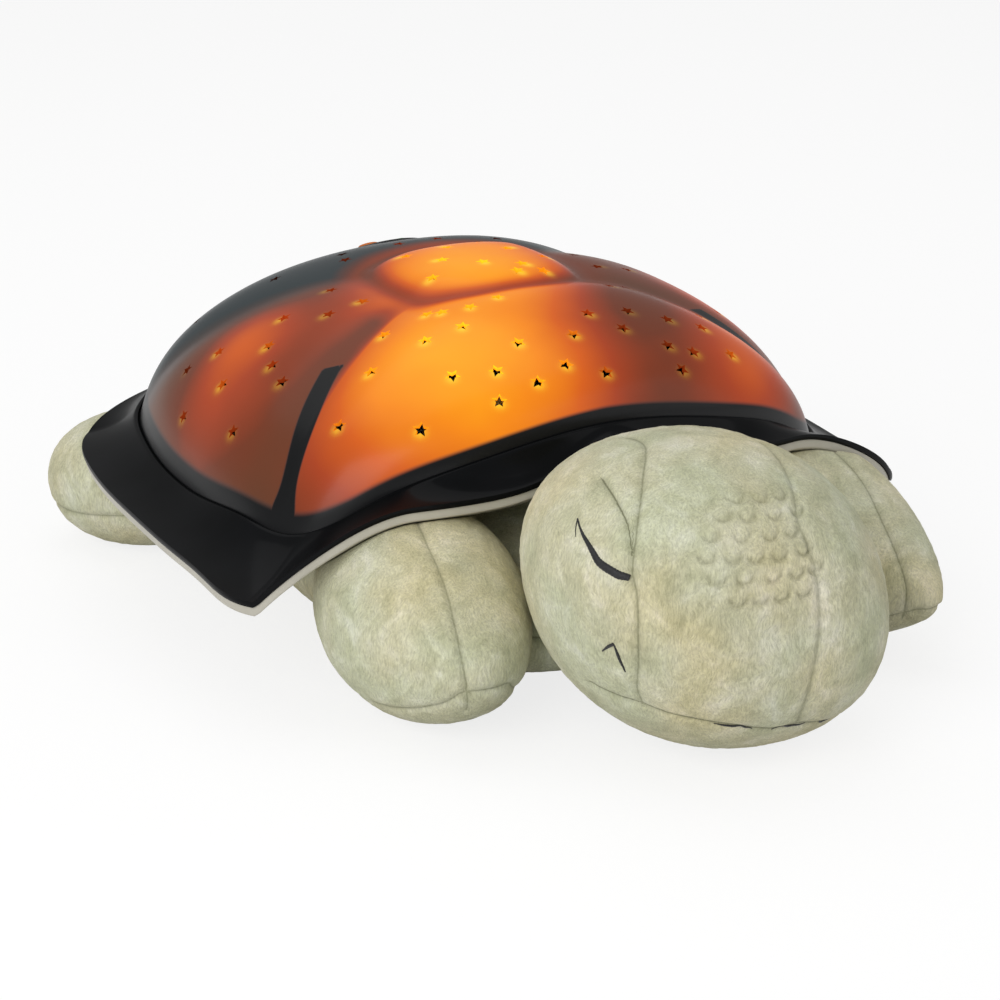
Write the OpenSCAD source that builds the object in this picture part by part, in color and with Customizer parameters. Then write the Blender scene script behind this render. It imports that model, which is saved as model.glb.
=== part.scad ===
// Plush turtle night light: a stuffed turtle body that carries a hard domed
// shell. Star-shaped holes in the shell throw stars on the ceiling.
// Millimetres. Z = 0 is the table, -Y the head end, +Y the tail end.
// Shell pieces are drawn by angle round the shell: 0 is the head, 180 the tail.

/* [Dome] */
// Height of the top of the dome above the table
dome_top = 137; // [135:0.5:140]
// Wall thickness of the dome
dome_wall = 2; // [1.6:0.1:2.4]
// Reach of the dome's edge towards the head
seam_front = 104; // [103:0.5:105]
// Reach of the dome's edge towards the tail
seam_rear = 114; // [113:0.5:115]
// Half width of the dome's edge
seam_side = 126; // [124:0.5:128]
// How deep the valleys between the scutes are
valley_depth = 6.5; // [5.5:0.25:7.5]
// How wide a valley is, in degrees round the shell
valley_width = 10; // [9:0.5:11]
// Depth of the ring groove round the top scute
ring_depth = 3.5; // [2.5:0.25:4]
// Point to centre of a star hole
star_reach = 3.1; // [2.6:0.1:3.4]
// Inner corners of a star hole, as a share of its points
star_waist = 0.45; // [0.4:0.01:0.55]

/* [Skirt and lower shell] */
// Reach of the rim towards the head
rim_front = 112; // [111:0.5:114]
// Reach of the rim towards the tail
rim_rear = 120; // [119:0.5:122]
// Half width of the rim
rim_side = 146; // [144:0.5:148]
// Height of the rim between a front and a rear corner
rim_low = 50; // [49:0.5:52]
// Height of the arch of the rim over the front paws
rim_paws = 80.5; // [79:0.5:81.5]
// Extra height of the rim over the neck
rim_neck = 14; // [12:0.5:15]
// Height of the rim over the tail
rim_tail = 67; // [66:0.5:70]
// Thickness of the black skirt
skirt_wall = 2.2; // [1.8:0.1:2.6]
// Height of the pale strip that shows under the skirt
strip_height = 3.5; // [2.5:0.25:4]
// Wall thickness of the lower shell
lower_wall = 2; // [1.6:0.1:2.4]
// Gap between two hard shell pieces that meet
shell_gap = 0.15; // [0.1:0.05:0.25]

/* [Chassis and battery box] */
// Length of the chassis plate across the shell
plate_x = 120; // [116:1:122]
// Width of the chassis plate
plate_y = 100; // [97:1:102]
// Outer length of the battery box
tub_x = 76; // [75:0.5:78]
// Outer width of the battery box
tub_y = 43; // [42:0.5:45]
// Height of the battery box's lower edge above the table
tub_low = 8; // [7:0.5:9]
// Wall thickness of the battery box
tub_wall = 2; // [1.8:0.1:2.2]
// Diameter of a battery
cell_d = 10.5; // [10:0.1:10.5]
// Length of a battery with its button end
cell_long = 44.5; // [44:0.1:44.5]
// Clearance round the battery door
door_gap = 0.2; // [0.15:0.05:0.3]
// Thickness of the battery door
door_thick = 2; // [1.8:0.1:2.4]

/* [Boards and lamps] */
// Radius of the lamp board
lamp_board_r = 30; // [29.5:0.5:32]
// Thickness of every circuit board
board_thick = 1.6; // [1.2:0.1:1.8]
// Diameter of a light-emitting diode
led_d = 5; // [4.8:0.1:5.2]
// Height of the reflector cup
cup_height = 9.4; // [8:0.2:12]

/* [Control panel] */
// Diameter of the round control panel
panel_d = 40; // [39:0.5:41]
// Diameter of a button
button_d = 8.8; // [8.4:0.1:9]
// Radial clearance of a button in its bore
button_fit = 0.1; // [0.06:0.01:0.1]
// How far a button can be pressed
button_travel = 1.2; // [0.8:0.1:1.2]
// Distance from the panel's centre to a button's centre
button_ring = 9.5; // [9.3:0.1:9.8]

/* [Plush body] */
// Reach of the nose in front of the shell's centre
nose_reach = 230; // [227:1:233]
// Half width of the head
head_half = 63; // [61:0.5:65]
// Half height of the head
head_rise = 58.5; // [58:0.5:60]
// Half width of the body under the shell
body_half = 86; // [84:0.5:88]
// Half height of the body
body_rise = 30; // [28.5:0.5:31]
// Half width of a front paw
paw_half = 38.5; // [37:0.5:40]
// Half height of a front paw
paw_rise = 38; // [37.8:0.1:39]
// Reach of the rear flippers behind the shell's centre
flipper_reach = 146; // [144:1:148]
// Half width of a rear flipper
flipper_half = 40; // [38:0.5:41]
// Half height of a rear flipper
flipper_rise = 30.5; // [30.4:0.1:31.5]
// Gap between two plush pieces, or between plush and plastic
cloth_gap = 0.3; // [0.2:0.05:0.4]

/* [Hidden] */

// Overlap used where two shapes of one piece are joined or cut
eps = 0.1;

// The shell's centre lies so that nose and flipper tips are equally far out
shell_y = (nose_reach - flipper_reach) / 2;

// Corners of the rim and valleys of the dome, in degrees from the head
corner_front = 56;
corner_rear = 126;
valley_front = 61;
valley_rear = 121;
half_turn = [
    for (k = [0 : 10]) corner_front * k / 11,
    corner_front,
    for (k = [0 : 11]) valley_front + (valley_rear - valley_front) * k / 12,
    valley_rear,
    for (k = [0 : 10]) corner_rear + (180 - corner_rear) * k / 11,
    180
];
half_count = len(half_turn) - 1;
around = [
    for (k = [0 : half_count - 1]) half_turn[k],
    for (k = [0 : half_count - 1]) -half_turn[half_count - k]
];
around_count = len(around);
front_turns = [for (a = around) if (abs(a) < 85 || abs(a) == 180 || a % 30 == 0) a];
rear_turns = [for (a = around) if (abs(a) > 95 || a % 30 == 0) a];

// Rim: how far the corners swing out, and where its heights change
corner_width = 10;
corner_out_front = 15;
corner_out_rear = 5;
rim_square = 3.4;
rim_fall_front = 19;
rim_fall_rear = 24;
rim_neck_width = 13;
rim_side_rise = 6;

// Edge of the dome: squareness, corners, and the lift over neck and tail
seam_square = 2.8;
seam_width = 11;
seam_out_front = 5;
seam_out_rear = 4;
seam_low = 61;
seam_neck = 36;
seam_tail = 24;
seam_dip_front = 9;
seam_dip_rear = 2;
seam_power = 1.9;

// Valleys end at the top scute, which a ring groove runs round. They fall off
// more steeply from the front scute than from the others.
valley_steep = 0.7;
valley_end = 0.86;
valley_fade = 0.1;
ring_at = 0.79;
ring_width = 0.05;
dome_steps = [0, 0.08, 0.16, 0.25, 0.34, 0.43, 0.52, 0.61, 0.69, 0.745, 0.79, 0.835, 0.91];
dome_rings = len(dome_steps);

// Lip and ledge of the skirt that hold the dome's edge
lip_rise = 1.2;
lip_wall = 1.5;
ledge_in = 6;
flare_reach = 0.35;
flare_rise = 0.2;

// Strip and flat ring of the lower shell
strip_in = 1.2;
strip_wall = 2.2;
ring_z = 56;
ring_half_x = 52;
ring_half_y = 43.5;
ring_square_in = 4;
flat_half_x = 63;
flat_half_y = 53;
flat_square = 6;
floor_power = 1.5;

// Screws: pilot holes are a little wider than the thread, which bites them
screw_head_r = 2.6;
screw_head_h = 1.8;
screw_r = 1.25;
pilot_gap = 0.05;
hole_gap = 0.25;
small_head_r = 1.9;
small_head_h = 1.3;
small_r = 1;

// Shell posts stand where the ledge of the skirt turns a corner
post_in = 3.4;
post_r = 4.6;
post_rise = 6;
post_seat = 3.2;
post_hang = 3.6;
post_stop = 1.4;
shell_screw_long = 7.8;
post_angles = [corner_front, corner_rear, -corner_rear, -corner_front];

// Chassis plate stands on four bosses of the lower shell's ring
boss_x = 50;
boss_y = 40;
boss_r = 4;
boss_rise = 3;
plate_z = ring_z + lower_wall + boss_rise;
plate_thick = 2;
plate_top = plate_z + plate_thick;
plate_corner = 12;
chassis_screw_long = 6;

// Battery box, from the door upwards
ledge_wide = 2;
bay_low = tub_low + door_thick;
bay_high = 24;
bay_roof = 2;
bay_x = tub_x - 2 * tub_wall - 2 * ledge_wide;
bay_y = tub_y - 2 * tub_wall - 2 * ledge_wide;
cell_z = 17;
cell_pitch = cell_d + 0.7;
cell_button_r = 2.2;
cell_button_h = 1;
saddle_x = 12;
saddle_thick = 2;
saddle_gap = 0.1;
contact_thick = 0.4;
contact_deep = 1.9;
contact_wide = 7;
contact_tall = 9;
divider_x = cell_long / 2 + contact_deep;
divider_thick = 1.2;
door_boss_x = 30;
door_boss_r = 3.6;
door_screw_long = 10;
lead_r = 0.8;
lead_hole_r = 1;

// Timer board inside the upper part of the box
timer_x = 52;
timer_y = 28;
timer_z = 34;
timer_post_x = 15;
timer_post_y = 10;
timer_post_r = 2.6;
timer_screw_long = 5;
chip_x = 8;
chip_y = 5;
chip_h = 1.5;

// Lamp board over the chassis plate
lamp_z = plate_top + 5;
lamp_top = lamp_z + board_thick;
lamp_post_ring = 26.5;
lamp_post_turn = 62;
lamp_post_r = 2.6;
lamp_screw_long = 5;
led_ring = 4.6;
led_body = 5;
led_flange = 0.4;
led_flange_h = 1;
cup_foot_r = 10.5;
cup_mouth_r = 16;
cup_wall = 1.2;
cup_foot_h = 1.4;
cup_foot_wide = 2.4;

// Control panel, measured from the dome's surface along the panel's axis
panel_at = 0.439;
panel_seat = 2.4;
panel_plate = 1.5;
panel_cup_r = 18;
panel_cup_wall = 1.5;
panel_deep = 12;
panel_cut_gap = 0.3;
panel_post_ring = 13.8;
panel_post_r = 2;
panel_screw_long = 4;
button_out = 1.2;
button_flange = 0.8;
button_flange_h = 1;
button_flange_gap = 0.1;
button_stem_r = 1.6;
button_stem_end = 6;
switch_side = 6;
switch_gap = 0.05;
switch_tip_r = 1.5;
switch_tip_h = 0.4;
button_board_r = 16;
button_board_z = -9;

// Wire bundles run along straight lines with round bends
wire_r = 1.5;
bend_extra = 0.2;
plug_side = 7;
plug_h = 3;

// Plush forms: sides of a cross-section, and sections along a form
form_sides = 18;
form_rings = 12;
neck_reach = 108.5;
head_z = [62.4, 52];
head_lean = [-11.9, 3.9];
right_paw_ends = [-158, -45.5];
right_paw_x = [-77.7, -73.7];
right_paw_z = [34.4, 40.4];
right_paw_shift = 1.05;
left_paw_ends = [-172, -43.7];
left_paw_x = [104, 80];
left_paw_z = [30, 42.4];
left_paw_shift = 1.36;
paw_lean = [0, 2];
flipper_root = 42;
flipper_x = [86, 110];
flipper_z = [34.1, 26.1];
body_front = 131;
body_top = ring_z - 0.2;
body_rear = 113;
tail_root = 100;
tail_tip = 142;
tail_z = [24, 12];
tail_half = [15, 12.5];
tail_shift = 1.3;

// ---------------------------------------------------------------- curves

function clamp(x) = min(max(x, 0), 1);

// A soft hill of the given width round x = 0
function bump(x, w) = exp(-x * x / (w * w));

// A hill with a sharp top: turned over, it is a crease between two cushions
function crease(x, w) = exp(-pow(sqrt(x * x + 0.02 * w * w) / w, 1.25));

// Quick at the start, slow at the end
function rise(t) = 1 - pow(1 - clamp(t), 2);

// Radius of an egg-shaped oval with its own reach to the head, tail and side
function oval(a, front, rear, side, square) =
    let (long = cos(a) > 0 ? front : rear)
    pow(pow(abs(cos(a)) / long, square) + pow(abs(sin(a)) / side, square), -1 / square);

// Rim of the skirt: sharp corners, arches over the paws, neck and tail
function rim_r(a) =
    oval(a, rim_front, rim_rear, rim_side, rim_square)
    + corner_out_front * bump(abs(a) - corner_front, corner_width)
    + corner_out_rear * bump(abs(a) - corner_rear, corner_width);
function rim_z(a) =
    rim_low
    + rim_side_rise * clamp((abs(a) - corner_front) / (corner_rear - corner_front))
    + (rim_paws - rim_low) * rise((corner_front - abs(a)) / rim_fall_front)
    + rim_neck * bump(a, rim_neck_width)
    + (rim_tail - rim_low - rim_side_rise) * rise((abs(a) - corner_rear) / rim_fall_rear);

// Edge of the dome, where it sits in the skirt
function seam_r(a) =
    oval(a, seam_front, seam_rear, seam_side, seam_square)
    + seam_out_front * bump(abs(a) - corner_front, seam_width)
    + seam_out_rear * bump(abs(a) - corner_rear, seam_width);
function seam_z(a) =
    seam_low
    + (cos(a) > 0 ? seam_neck : seam_tail) * pow(abs(cos(a)), seam_power)
    - seam_dip_front * bump(abs(a) - corner_front, seam_width)
    - seam_dip_rear * bump(abs(a) - corner_rear, seam_width);

// Depth of the valleys and of the ring groove at angle a and height t (0 to 1)
function carve(a, t) =
    let (w = valley_width / max(cos(90 * t), 0.3), b = abs(a) - valley_front)
    let (across = crease(b, b < 0 ? valley_steep * w : w) + crease(abs(a) - valley_rear, w))
    let (along = pow(sin(180 * clamp(t / 0.9)), 0.6) * clamp((valley_end - t) / valley_fade))
    valley_depth * across * along + ring_depth * crease(t - ring_at, ring_width);

// Radius and height of the dome; the inner face lies one wall further in
function dome_rz(a, t, inset) =
    let (f = 90 * t, d = carve(a, t), z0 = seam_z(a))
    [
        (seam_r(a) - inset - d) * cos(f),
        z0 + (dome_top - inset - z0) * sin(f) - d * sin(f)
    ];
function in_shell(a, rz) = [rz[0] * sin(a), shell_y - rz[0] * cos(a), rz[1]];
function dome_tilt(a, t) =
    let (low = dome_rz(a, t - 0.01, 0), high = dome_rz(a, t + 0.01, 0))
    atan2(high[1] - low[1], low[0] - high[0]);

// Height of the lower shell's underside at angle a and radius r
function ring_r(a) = oval(a, ring_half_y, ring_half_y, ring_half_x, ring_square_in);
function flat_r(a) = oval(a, flat_half_y, flat_half_y, flat_half_x, flat_square);
function edge_r(a) = rim_r(a) - strip_in - 0.3;
function edge_z(a) = rim_z(a) - skirt_wall - shell_gap - strip_height;
function floor_z(a, r) =
    ring_z + (edge_z(a) - ring_z) * pow(clamp((r - flat_r(a)) / (edge_r(a) - flat_r(a))), floor_power);

// A point on a curve that leaves p, is pulled towards c and arrives at q
function pulled(p, c, q, t) = (1 - t) * (1 - t) * p + 2 * t * (1 - t) * c + t * t * q;

// Cross-section of the skirt, in order: rim, flare, lip, ledge, underside
function skirt_section(a) =
    let (r0 = seam_r(a), z0 = seam_z(a), rim = [rim_r(a), rim_z(a)])
    let (lip = [r0 + shell_gap + lip_wall, z0 + lip_rise])
    let (ctl = lip + [flare_reach * (rim[0] - lip[0]), (flare_rise - 1) * (lip[1] - rim[1])])
    let (low = [r0 + shell_gap, z0 - skirt_wall], edge = rim - [0.4, skirt_wall])
    [
        edge, rim,
        pulled(rim, ctl, lip, 0.35), pulled(rim, ctl, lip, 0.7),
        lip, [r0 + shell_gap, lip[1]],
        [r0 + shell_gap, z0 - shell_gap], [r0 - ledge_in, z0 - shell_gap],
        [r0 - ledge_in, z0 - skirt_wall],
        low, pulled(low, ctl - [0.8, skirt_wall], edge, 0.45)
    ];

// Cross-section of the lower shell, in order: underside, strip, upper face
function lower_section(a) =
    let (r0 = ring_r(a), r1 = flat_r(a), r3 = edge_r(a), top = rim_z(a) - skirt_wall - shell_gap)
    let (mid = r1 + 0.6 * (r3 - r1), in = rim_r(a) - strip_in - strip_wall)
    [
        [r0, ring_z], [r1, ring_z], [mid, floor_z(a, mid)], [r3, floor_z(a, r3)],
        [rim_r(a) - strip_in, top], [in, top],
        [in - 0.4, floor_z(a, in - 0.4) + lower_wall],
        [mid, floor_z(a, mid) + lower_wall],
        [r1, ring_z + lower_wall], [r0, ring_z + lower_wall]
    ];

// The room taken by the shell, used to trim the limbs that run under it
function room_section(a) =
    let (r1 = flat_r(a), r3 = edge_r(a), mid = r1 + 0.6 * (r3 - r1), out = rim_r(a) + 2 * cloth_gap)
    [
        [20, ring_z - cloth_gap], [r1, ring_z - cloth_gap],
        [mid, floor_z(a, mid) - cloth_gap], [r3, floor_z(a, r3) - cloth_gap],
        [out, floor_z(a, r3) - cloth_gap], [out, dome_top], [20, dome_top]
    ];

// ---------------------------------------------------------------- solids

// Faces between section ring i and section ring k
function band(i, k, n) = [
    for (j = [0 : n - 1])
        let (m = (j + 1) % n)
        each [[i * n + j, k * n + j, k * n + m], [i * n + j, k * n + m, i * n + m]]
];

// A closed ring round the shell from one cross-section for each angle
module round_shell(angles, sections) {
    count = len(sections[0]);
    turns = len(angles);
    polyhedron(
        points = [
            for (s = [0 : count - 1], j = [0 : turns - 1])
                in_shell(angles[j], sections[j][s])
        ],
        faces = [for (s = [0 : count - 1]) each band(s, (s + 1) % count, turns)]
    );
}

// A hollow cap: outer rings upwards, inner rings downwards, one tip for each
module dome_body() {
    n = around_count;
    out = dome_rings;
    last = 2 * dome_rings - 1;
    tip_out = (last + 1) * n;
    tip_in = tip_out + 1;
    polyhedron(
        points = [
            for (s = [0 : out - 1], a = around) in_shell(a, dome_rz(a, dome_steps[s], 0)),
            for (s = [1 : out], a = around)
                in_shell(a, dome_rz(a, dome_steps[out - s], dome_wall)),
            [0, shell_y, dome_top],
            [0, shell_y, dome_top - dome_wall]
        ],
        faces = [
            for (s = [0 : out - 2]) each band(s, s + 1, n),
            for (j = [0 : n - 1]) [(out - 1) * n + j, tip_out, (out - 1) * n + (j + 1) % n],
            for (j = [0 : n - 1]) [tip_in, out * n + j, out * n + (j + 1) % n],
            for (s = [out : last - 1]) each band(s, s + 1, n),
            each band(last, 0, n)
        ]
    );
}

// Places children on the dome, with Z along the way out of the wall
module on_dome(a, t) {
    translate(in_shell(a, dome_rz(a, t, 0)))
        rotate([0, dome_tilt(a, t), a - 90])
            children();
}

// Star holes are strewn over the scutes and keep off the valleys and the panel.
// Each place is an angle round the shell and a height up the dome.
star_deep = 3;
star_twist = 47;
front_stars = [
    [-58, 0.65], [-53, 0.51], [-54, 0.34], [-47, 0.71], [-42, 0.58], [-38, 0.23],
    [-33, 0.41], [-41, 0.7], [-32, 0.61], [-30, 0.7], [-23, 0.39], [-23, 0.26],
    [-17, 0.73], [-16, 0.49], [-14, 0.3], [-6, 0.35], [1, 0.48], [3, 0.28],
    [12, 0.57], [17, 0.48], [26, 0.56], [34, 0.5], [41, 0.45], [24, 0.38],
    [29, 0.34], [22, 0.26], [39, 0.32], [45, 0.71], [56, 0.7], [52, 0.52]
];
side_stars = [
    [89, 0.49], [81, 0.45], [91, 0.34], [74, 0.42], [108, 0.3], [103, 0.4],
    [83, 0.72], [85, 0.64], [107, 0.7], [98, 0.57], [78, 0.24], [97, 0.2]
];
rear_stars = [
    [132, 0.32], [136, 0.55], [143, 0.41], [147, 0.22], [151, 0.65], [158, 0.33],
    [170, 0.71], [143, 0.7]
];
top_stars = [
    [-62, 0.86], [-9, 0.94], [17, 0.86], [36, 0.89], [37, 0.84], [75, 0.86],
    [107, 0.91], [150, 0.86], [-170, 0.9], [-128, 0.87], [-95, 0.93]
];
star_spots = [
    each front_stars,
    for (s = side_stars, side = [-1, 1]) [side * s[0], s[1]],
    for (s = rear_stars, side = [-1, 1]) [side * s[0], s[1]],
    each top_stars
];

module star_hole() {
    translate([0, 0, -dome_wall - star_deep])
        linear_extrude(height = dome_wall + 2 * star_deep)
            polygon([
                for (k = [0 : 9])
                    let (reach = star_reach * (k % 2 == 0 ? 1 : star_waist))
                    [reach * cos(36 * k), reach * sin(36 * k)]
            ]);
}

module shell_dome() {
    color([0.91, 0.48, 0.13])
        difference() {
            dome_body();
            for (k = [0 : len(star_spots) - 1])
                on_dome(star_spots[k][0], star_spots[k][1])
                    rotate([0, 0, star_twist * k])
                        star_hole();
            on_dome(180, panel_at) {
                translate([0, 0, -panel_deep])
                    cylinder(h = 2 * panel_deep, r = panel_cup_r + panel_cut_gap, $fn = 64);
                translate([0, 0, -panel_seat])
                    cylinder(h = 8, r = panel_d / 2 + panel_cut_gap, $fn = 64);
            }
        }
}

// Stands where a post is, with Z = 0 on the underside of the lower shell
module at_posts() {
    for (a = post_angles) {
        r = seam_r(a) - post_in;
        translate(in_shell(a, [r, floor_z(a, r)]))
            children();
    }
}

module shell_skirt() {
    color([0.08, 0.08, 0.08])
        difference() {
            union() {
                round_shell(around, [for (a = around) skirt_section(a)]);
                for (a = post_angles) {
                    r = seam_r(a) - post_in;
                    low = floor_z(a, r) + post_rise + shell_gap;
                    translate(in_shell(a, [r, low]))
                        cylinder(h = seam_z(a) - post_stop - low, r = post_hang, $fn = 32);
                }
            }
            at_posts()
                translate([0, 0, post_rise - 1])
                    cylinder(h = 1 + shell_screw_long - (post_rise - post_seat) + 0.6,
                        r = screw_r + pilot_gap, $fn = 24);
        }
}

module lower_shell() {
    color([0.72, 0.70, 0.65])
        difference() {
            union() {
                round_shell(around, [for (a = around) lower_section(a)]);
                at_posts()
                    translate([0, 0, 1])
                        cylinder(h = post_rise - 1, r = post_r, $fn = 32);
                at_bosses()
                    translate([0, 0, ring_z + 1])
                        cylinder(h = lower_wall + boss_rise - 1, r = boss_r, $fn = 32);
            }
            at_posts() {
                translate([0, 0, -4])
                    cylinder(h = 4 + post_seat, r = screw_head_r + hole_gap, $fn = 24);
                translate([0, 0, post_seat - 1])
                    cylinder(h = post_rise, r = screw_r + hole_gap, $fn = 24);
            }
            at_bosses()
                translate([0, 0, ring_z + 0.5])
                    cylinder(h = plate_z, r = screw_r + pilot_gap, $fn = 24);
        }
}

// A pan-head screw with its seat at Z = 0 and its thread towards +Z
module screw(head_r, head_h, thread_r, long) {
    difference() {
        union() {
            translate([0, 0, -head_h]) cylinder(h = head_h, r = head_r, $fn = 32);
            translate([0, 0, -eps]) cylinder(h = long + eps, r = thread_r, $fn = 24);
        }
        for (turn = [0, 90])
            rotate([0, 0, turn])
                translate([-0.7 * head_r, -0.3, -head_h - eps])
                    cube([1.4 * head_r, 0.6, 0.5 * head_h + eps]);
    }
}

module shell_screws() {
    color([0.75, 0.75, 0.77])
        at_posts()
            translate([0, 0, post_seat])
                screw(screw_head_r, screw_head_h, screw_r, shell_screw_long);
}

// ---------------------------------------------------------------- chassis

module at_bosses() {
    for (x = [-boss_x, boss_x], y = [-boss_y, boss_y])
        translate([x, shell_y + y, 0])
            children();
}

module box_at(x, y, z0, z1) {
    translate([-x / 2, shell_y - y / 2, z0])
        cube([x, y, z1 - z0]);
}

module rounded_plate(x, y, corner, z0, thick) {
    translate([0, shell_y, z0])
        linear_extrude(height = thick)
            union() {
                square([x, y - 2 * corner], center = true);
                square([x - 2 * corner, y], center = true);
                for (sx = [-1, 1], sy = [-1, 1])
                    translate([sx * (x / 2 - corner), sy * (y / 2 - corner)])
                        circle(r = corner, $fn = 48);
            }
}

module at_lamp_posts() {
    for (side = [-1, 1], up = [-1, 1])
        translate([
            side * lamp_post_ring * cos(lamp_post_turn),
            shell_y + up * lamp_post_ring * sin(lamp_post_turn),
            0
        ])
            children();
}

module at_timer_posts() {
    for (x = [-timer_post_x, timer_post_x], y = [-timer_post_y, timer_post_y])
        translate([x, shell_y + y, 0])
            children();
}

module at_leads() {
    for (side = [-1, 1])
        translate([side * (divider_x - contact_deep / 2), shell_y + side * cell_pitch, 0])
            children();
}

module chassis() {
    roof = bay_high + bay_roof;
    color([0.86, 0.86, 0.84])
        difference() {
            union() {
                difference() {
                    union() {
                        rounded_plate(plate_x, plate_y, plate_corner, plate_z, plate_thick);
                        box_at(tub_x, tub_y, tub_low, plate_top);
                    }
                    box_at(tub_x - 2 * tub_wall, tub_y - 2 * tub_wall, roof, plate_top + 1);
                    box_at(tub_x - 2 * tub_wall, tub_y - 2 * tub_wall, tub_low - 1, bay_low);
                    box_at(bay_x, bay_y, bay_low - eps, bay_high);
                }
                for (side = [-1, 1]) {
                    translate([side * (divider_x + divider_thick / 2), shell_y, 0])
                        translate([-divider_thick / 2, -bay_y / 2 - eps, bay_low + 1])
                            cube([divider_thick, bay_y + 2 * eps, bay_high - bay_low - 1 + eps]);
                    translate([side * saddle_x - saddle_thick / 2, shell_y - bay_y / 2 - eps, cell_z])
                        cube([saddle_thick, bay_y + 2 * eps, bay_high - cell_z + eps]);
                    translate([side * door_boss_x, shell_y, bay_low])
                        cylinder(h = bay_high - bay_low + eps, r = door_boss_r, $fn = 32);
                }
                at_lamp_posts()
                    translate([0, 0, plate_top - eps])
                        cylinder(h = lamp_z - plate_top + eps, r = lamp_post_r, $fn = 32);
                at_timer_posts()
                    translate([0, 0, roof - eps])
                        cylinder(h = timer_z - roof + eps, r = timer_post_r, $fn = 32);
            }
            for (k = [-1, 0, 1])
                translate([0, shell_y + k * cell_pitch, cell_z])
                    rotate([0, 90, 0])
                        cylinder(h = cell_long, r = cell_d / 2 + saddle_gap, center = true, $fn = 48);
            for (side = [-1, 1])
                translate([side * door_boss_x, shell_y, bay_low - 1])
                    cylinder(h = door_screw_long + 1, r = screw_r + pilot_gap, $fn = 24);
            at_bosses()
                translate([0, 0, plate_z - 1])
                    cylinder(h = plate_thick + 2, r = screw_r + hole_gap, $fn = 24);
            at_lamp_posts()
                translate([0, 0, lamp_z - lamp_screw_long])
                    cylinder(h = lamp_screw_long + 1, r = small_r + pilot_gap, $fn = 24);
            at_timer_posts()
                translate([0, 0, timer_z - timer_screw_long])
                    cylinder(h = timer_screw_long + 1, r = small_r + pilot_gap, $fn = 24);
            at_leads()
                translate([0, 0, bay_high - 1])
                    cylinder(h = bay_roof + 2, r = lead_hole_r, $fn = 24);
        }
}

module chassis_screws() {
    color([0.75, 0.75, 0.77])
        at_bosses()
            translate([0, 0, plate_top])
                mirror([0, 0, 1])
                    screw(screw_head_r, screw_head_h, screw_r, chassis_screw_long);
}

// One battery; its button end points to +X when way is 1
module cell(row, way) {
    color([0.20, 0.42, 0.30])
        translate([0, shell_y + row * cell_pitch, cell_z])
            rotate([0, 90 * way, 0])
                translate([0, 0, -cell_long / 2])
                    union() {
                        cylinder(h = cell_long - cell_button_h, r = cell_d / 2, $fn = 48);
                        cylinder(h = cell_long, r = cell_button_r, $fn = 24);
                    }
}

module battery_1() { cell(-1, 1); }
module battery_2() { cell(0, -1); }
module battery_3() { cell(1, 1); }

// Bent leaf springs: one leg on the battery's end, one on the divider
module battery_contacts() {
    color([0.80, 0.80, 0.82])
        for (side = [0, 1], row = [-1, 0, 1])
            translate([0, shell_y + row * cell_pitch, cell_z])
                mirror([side, 0, 0])
                    translate([cell_long / 2, -contact_wide / 2, -contact_tall / 2])
                        union() {
                            cube([contact_thick, contact_wide, contact_tall]);
                            translate([contact_deep - contact_thick, 0, 0])
                                cube([contact_thick, contact_wide, contact_tall]);
                            translate([0, 0, contact_tall - contact_thick])
                                cube([contact_deep, contact_wide, contact_thick]);
                        }
}

module battery_leads() {
    low = cell_z + contact_tall / 2;
    color([0.75, 0.12, 0.10])
        at_leads()
            translate([0, 0, low])
                cylinder(h = timer_z - low, r = lead_r, $fn = 24);
}

module battery_door() {
    inner_x = tub_x - 2 * tub_wall - 2 * door_gap;
    inner_y = tub_y - 2 * tub_wall - 2 * door_gap;
    color([0.55, 0.58, 0.46])
        difference() {
            union() {
                box_at(inner_x, inner_y, tub_low, bay_low);
                for (y = [-2, -1, 0, 1, 2])
                    translate([-10, shell_y + 4 * y - 0.75, tub_low - 0.6])
                        cube([20, 1.5, 0.6 + eps]);
            }
            for (side = [-1, 1])
                translate([side * door_boss_x, shell_y, tub_low - 1])
                    cylinder(h = door_thick + 2, r = screw_r + hole_gap, $fn = 24);
        }
}

module door_screws() {
    color([0.75, 0.75, 0.77])
        for (side = [-1, 1])
            translate([side * door_boss_x, shell_y, tub_low])
                screw(screw_head_r, screw_head_h, screw_r, door_screw_long);
}

// ---------------------------------------------------------------- boards

module timer_board() {
    color([0.10, 0.38, 0.22])
        difference() {
            box_at(timer_x, timer_y, timer_z, timer_z + board_thick);
            at_timer_posts()
                translate([0, 0, timer_z - 1])
                    cylinder(h = board_thick + 2, r = small_r + hole_gap, $fn = 24);
        }
}

module timer_board_screws() {
    color([0.75, 0.75, 0.77])
        at_timer_posts()
            translate([0, 0, timer_z + board_thick])
                mirror([0, 0, 1])
                    screw(small_head_r, small_head_h, small_r, timer_screw_long);
}

module timer_chip() {
    color([0.08, 0.08, 0.09])
        translate([-chip_x / 2, shell_y - chip_y / 2 - 4, timer_z + board_thick])
            cube([chip_x, chip_y, chip_h]);
}

module lamp_board() {
    color([0.92, 0.92, 0.90])
        difference() {
            translate([0, shell_y, lamp_z])
                cylinder(h = board_thick, r = lamp_board_r, $fn = 72);
            at_lamp_posts()
                translate([0, 0, lamp_z - 1])
                    cylinder(h = board_thick + 2, r = small_r + hole_gap, $fn = 24);
        }
}

module lamp_board_screws() {
    color([0.75, 0.75, 0.77])
        at_lamp_posts()
            translate([0, 0, lamp_top])
                mirror([0, 0, 1])
                    screw(small_head_r, small_head_h, small_r, lamp_screw_long);
}

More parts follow.
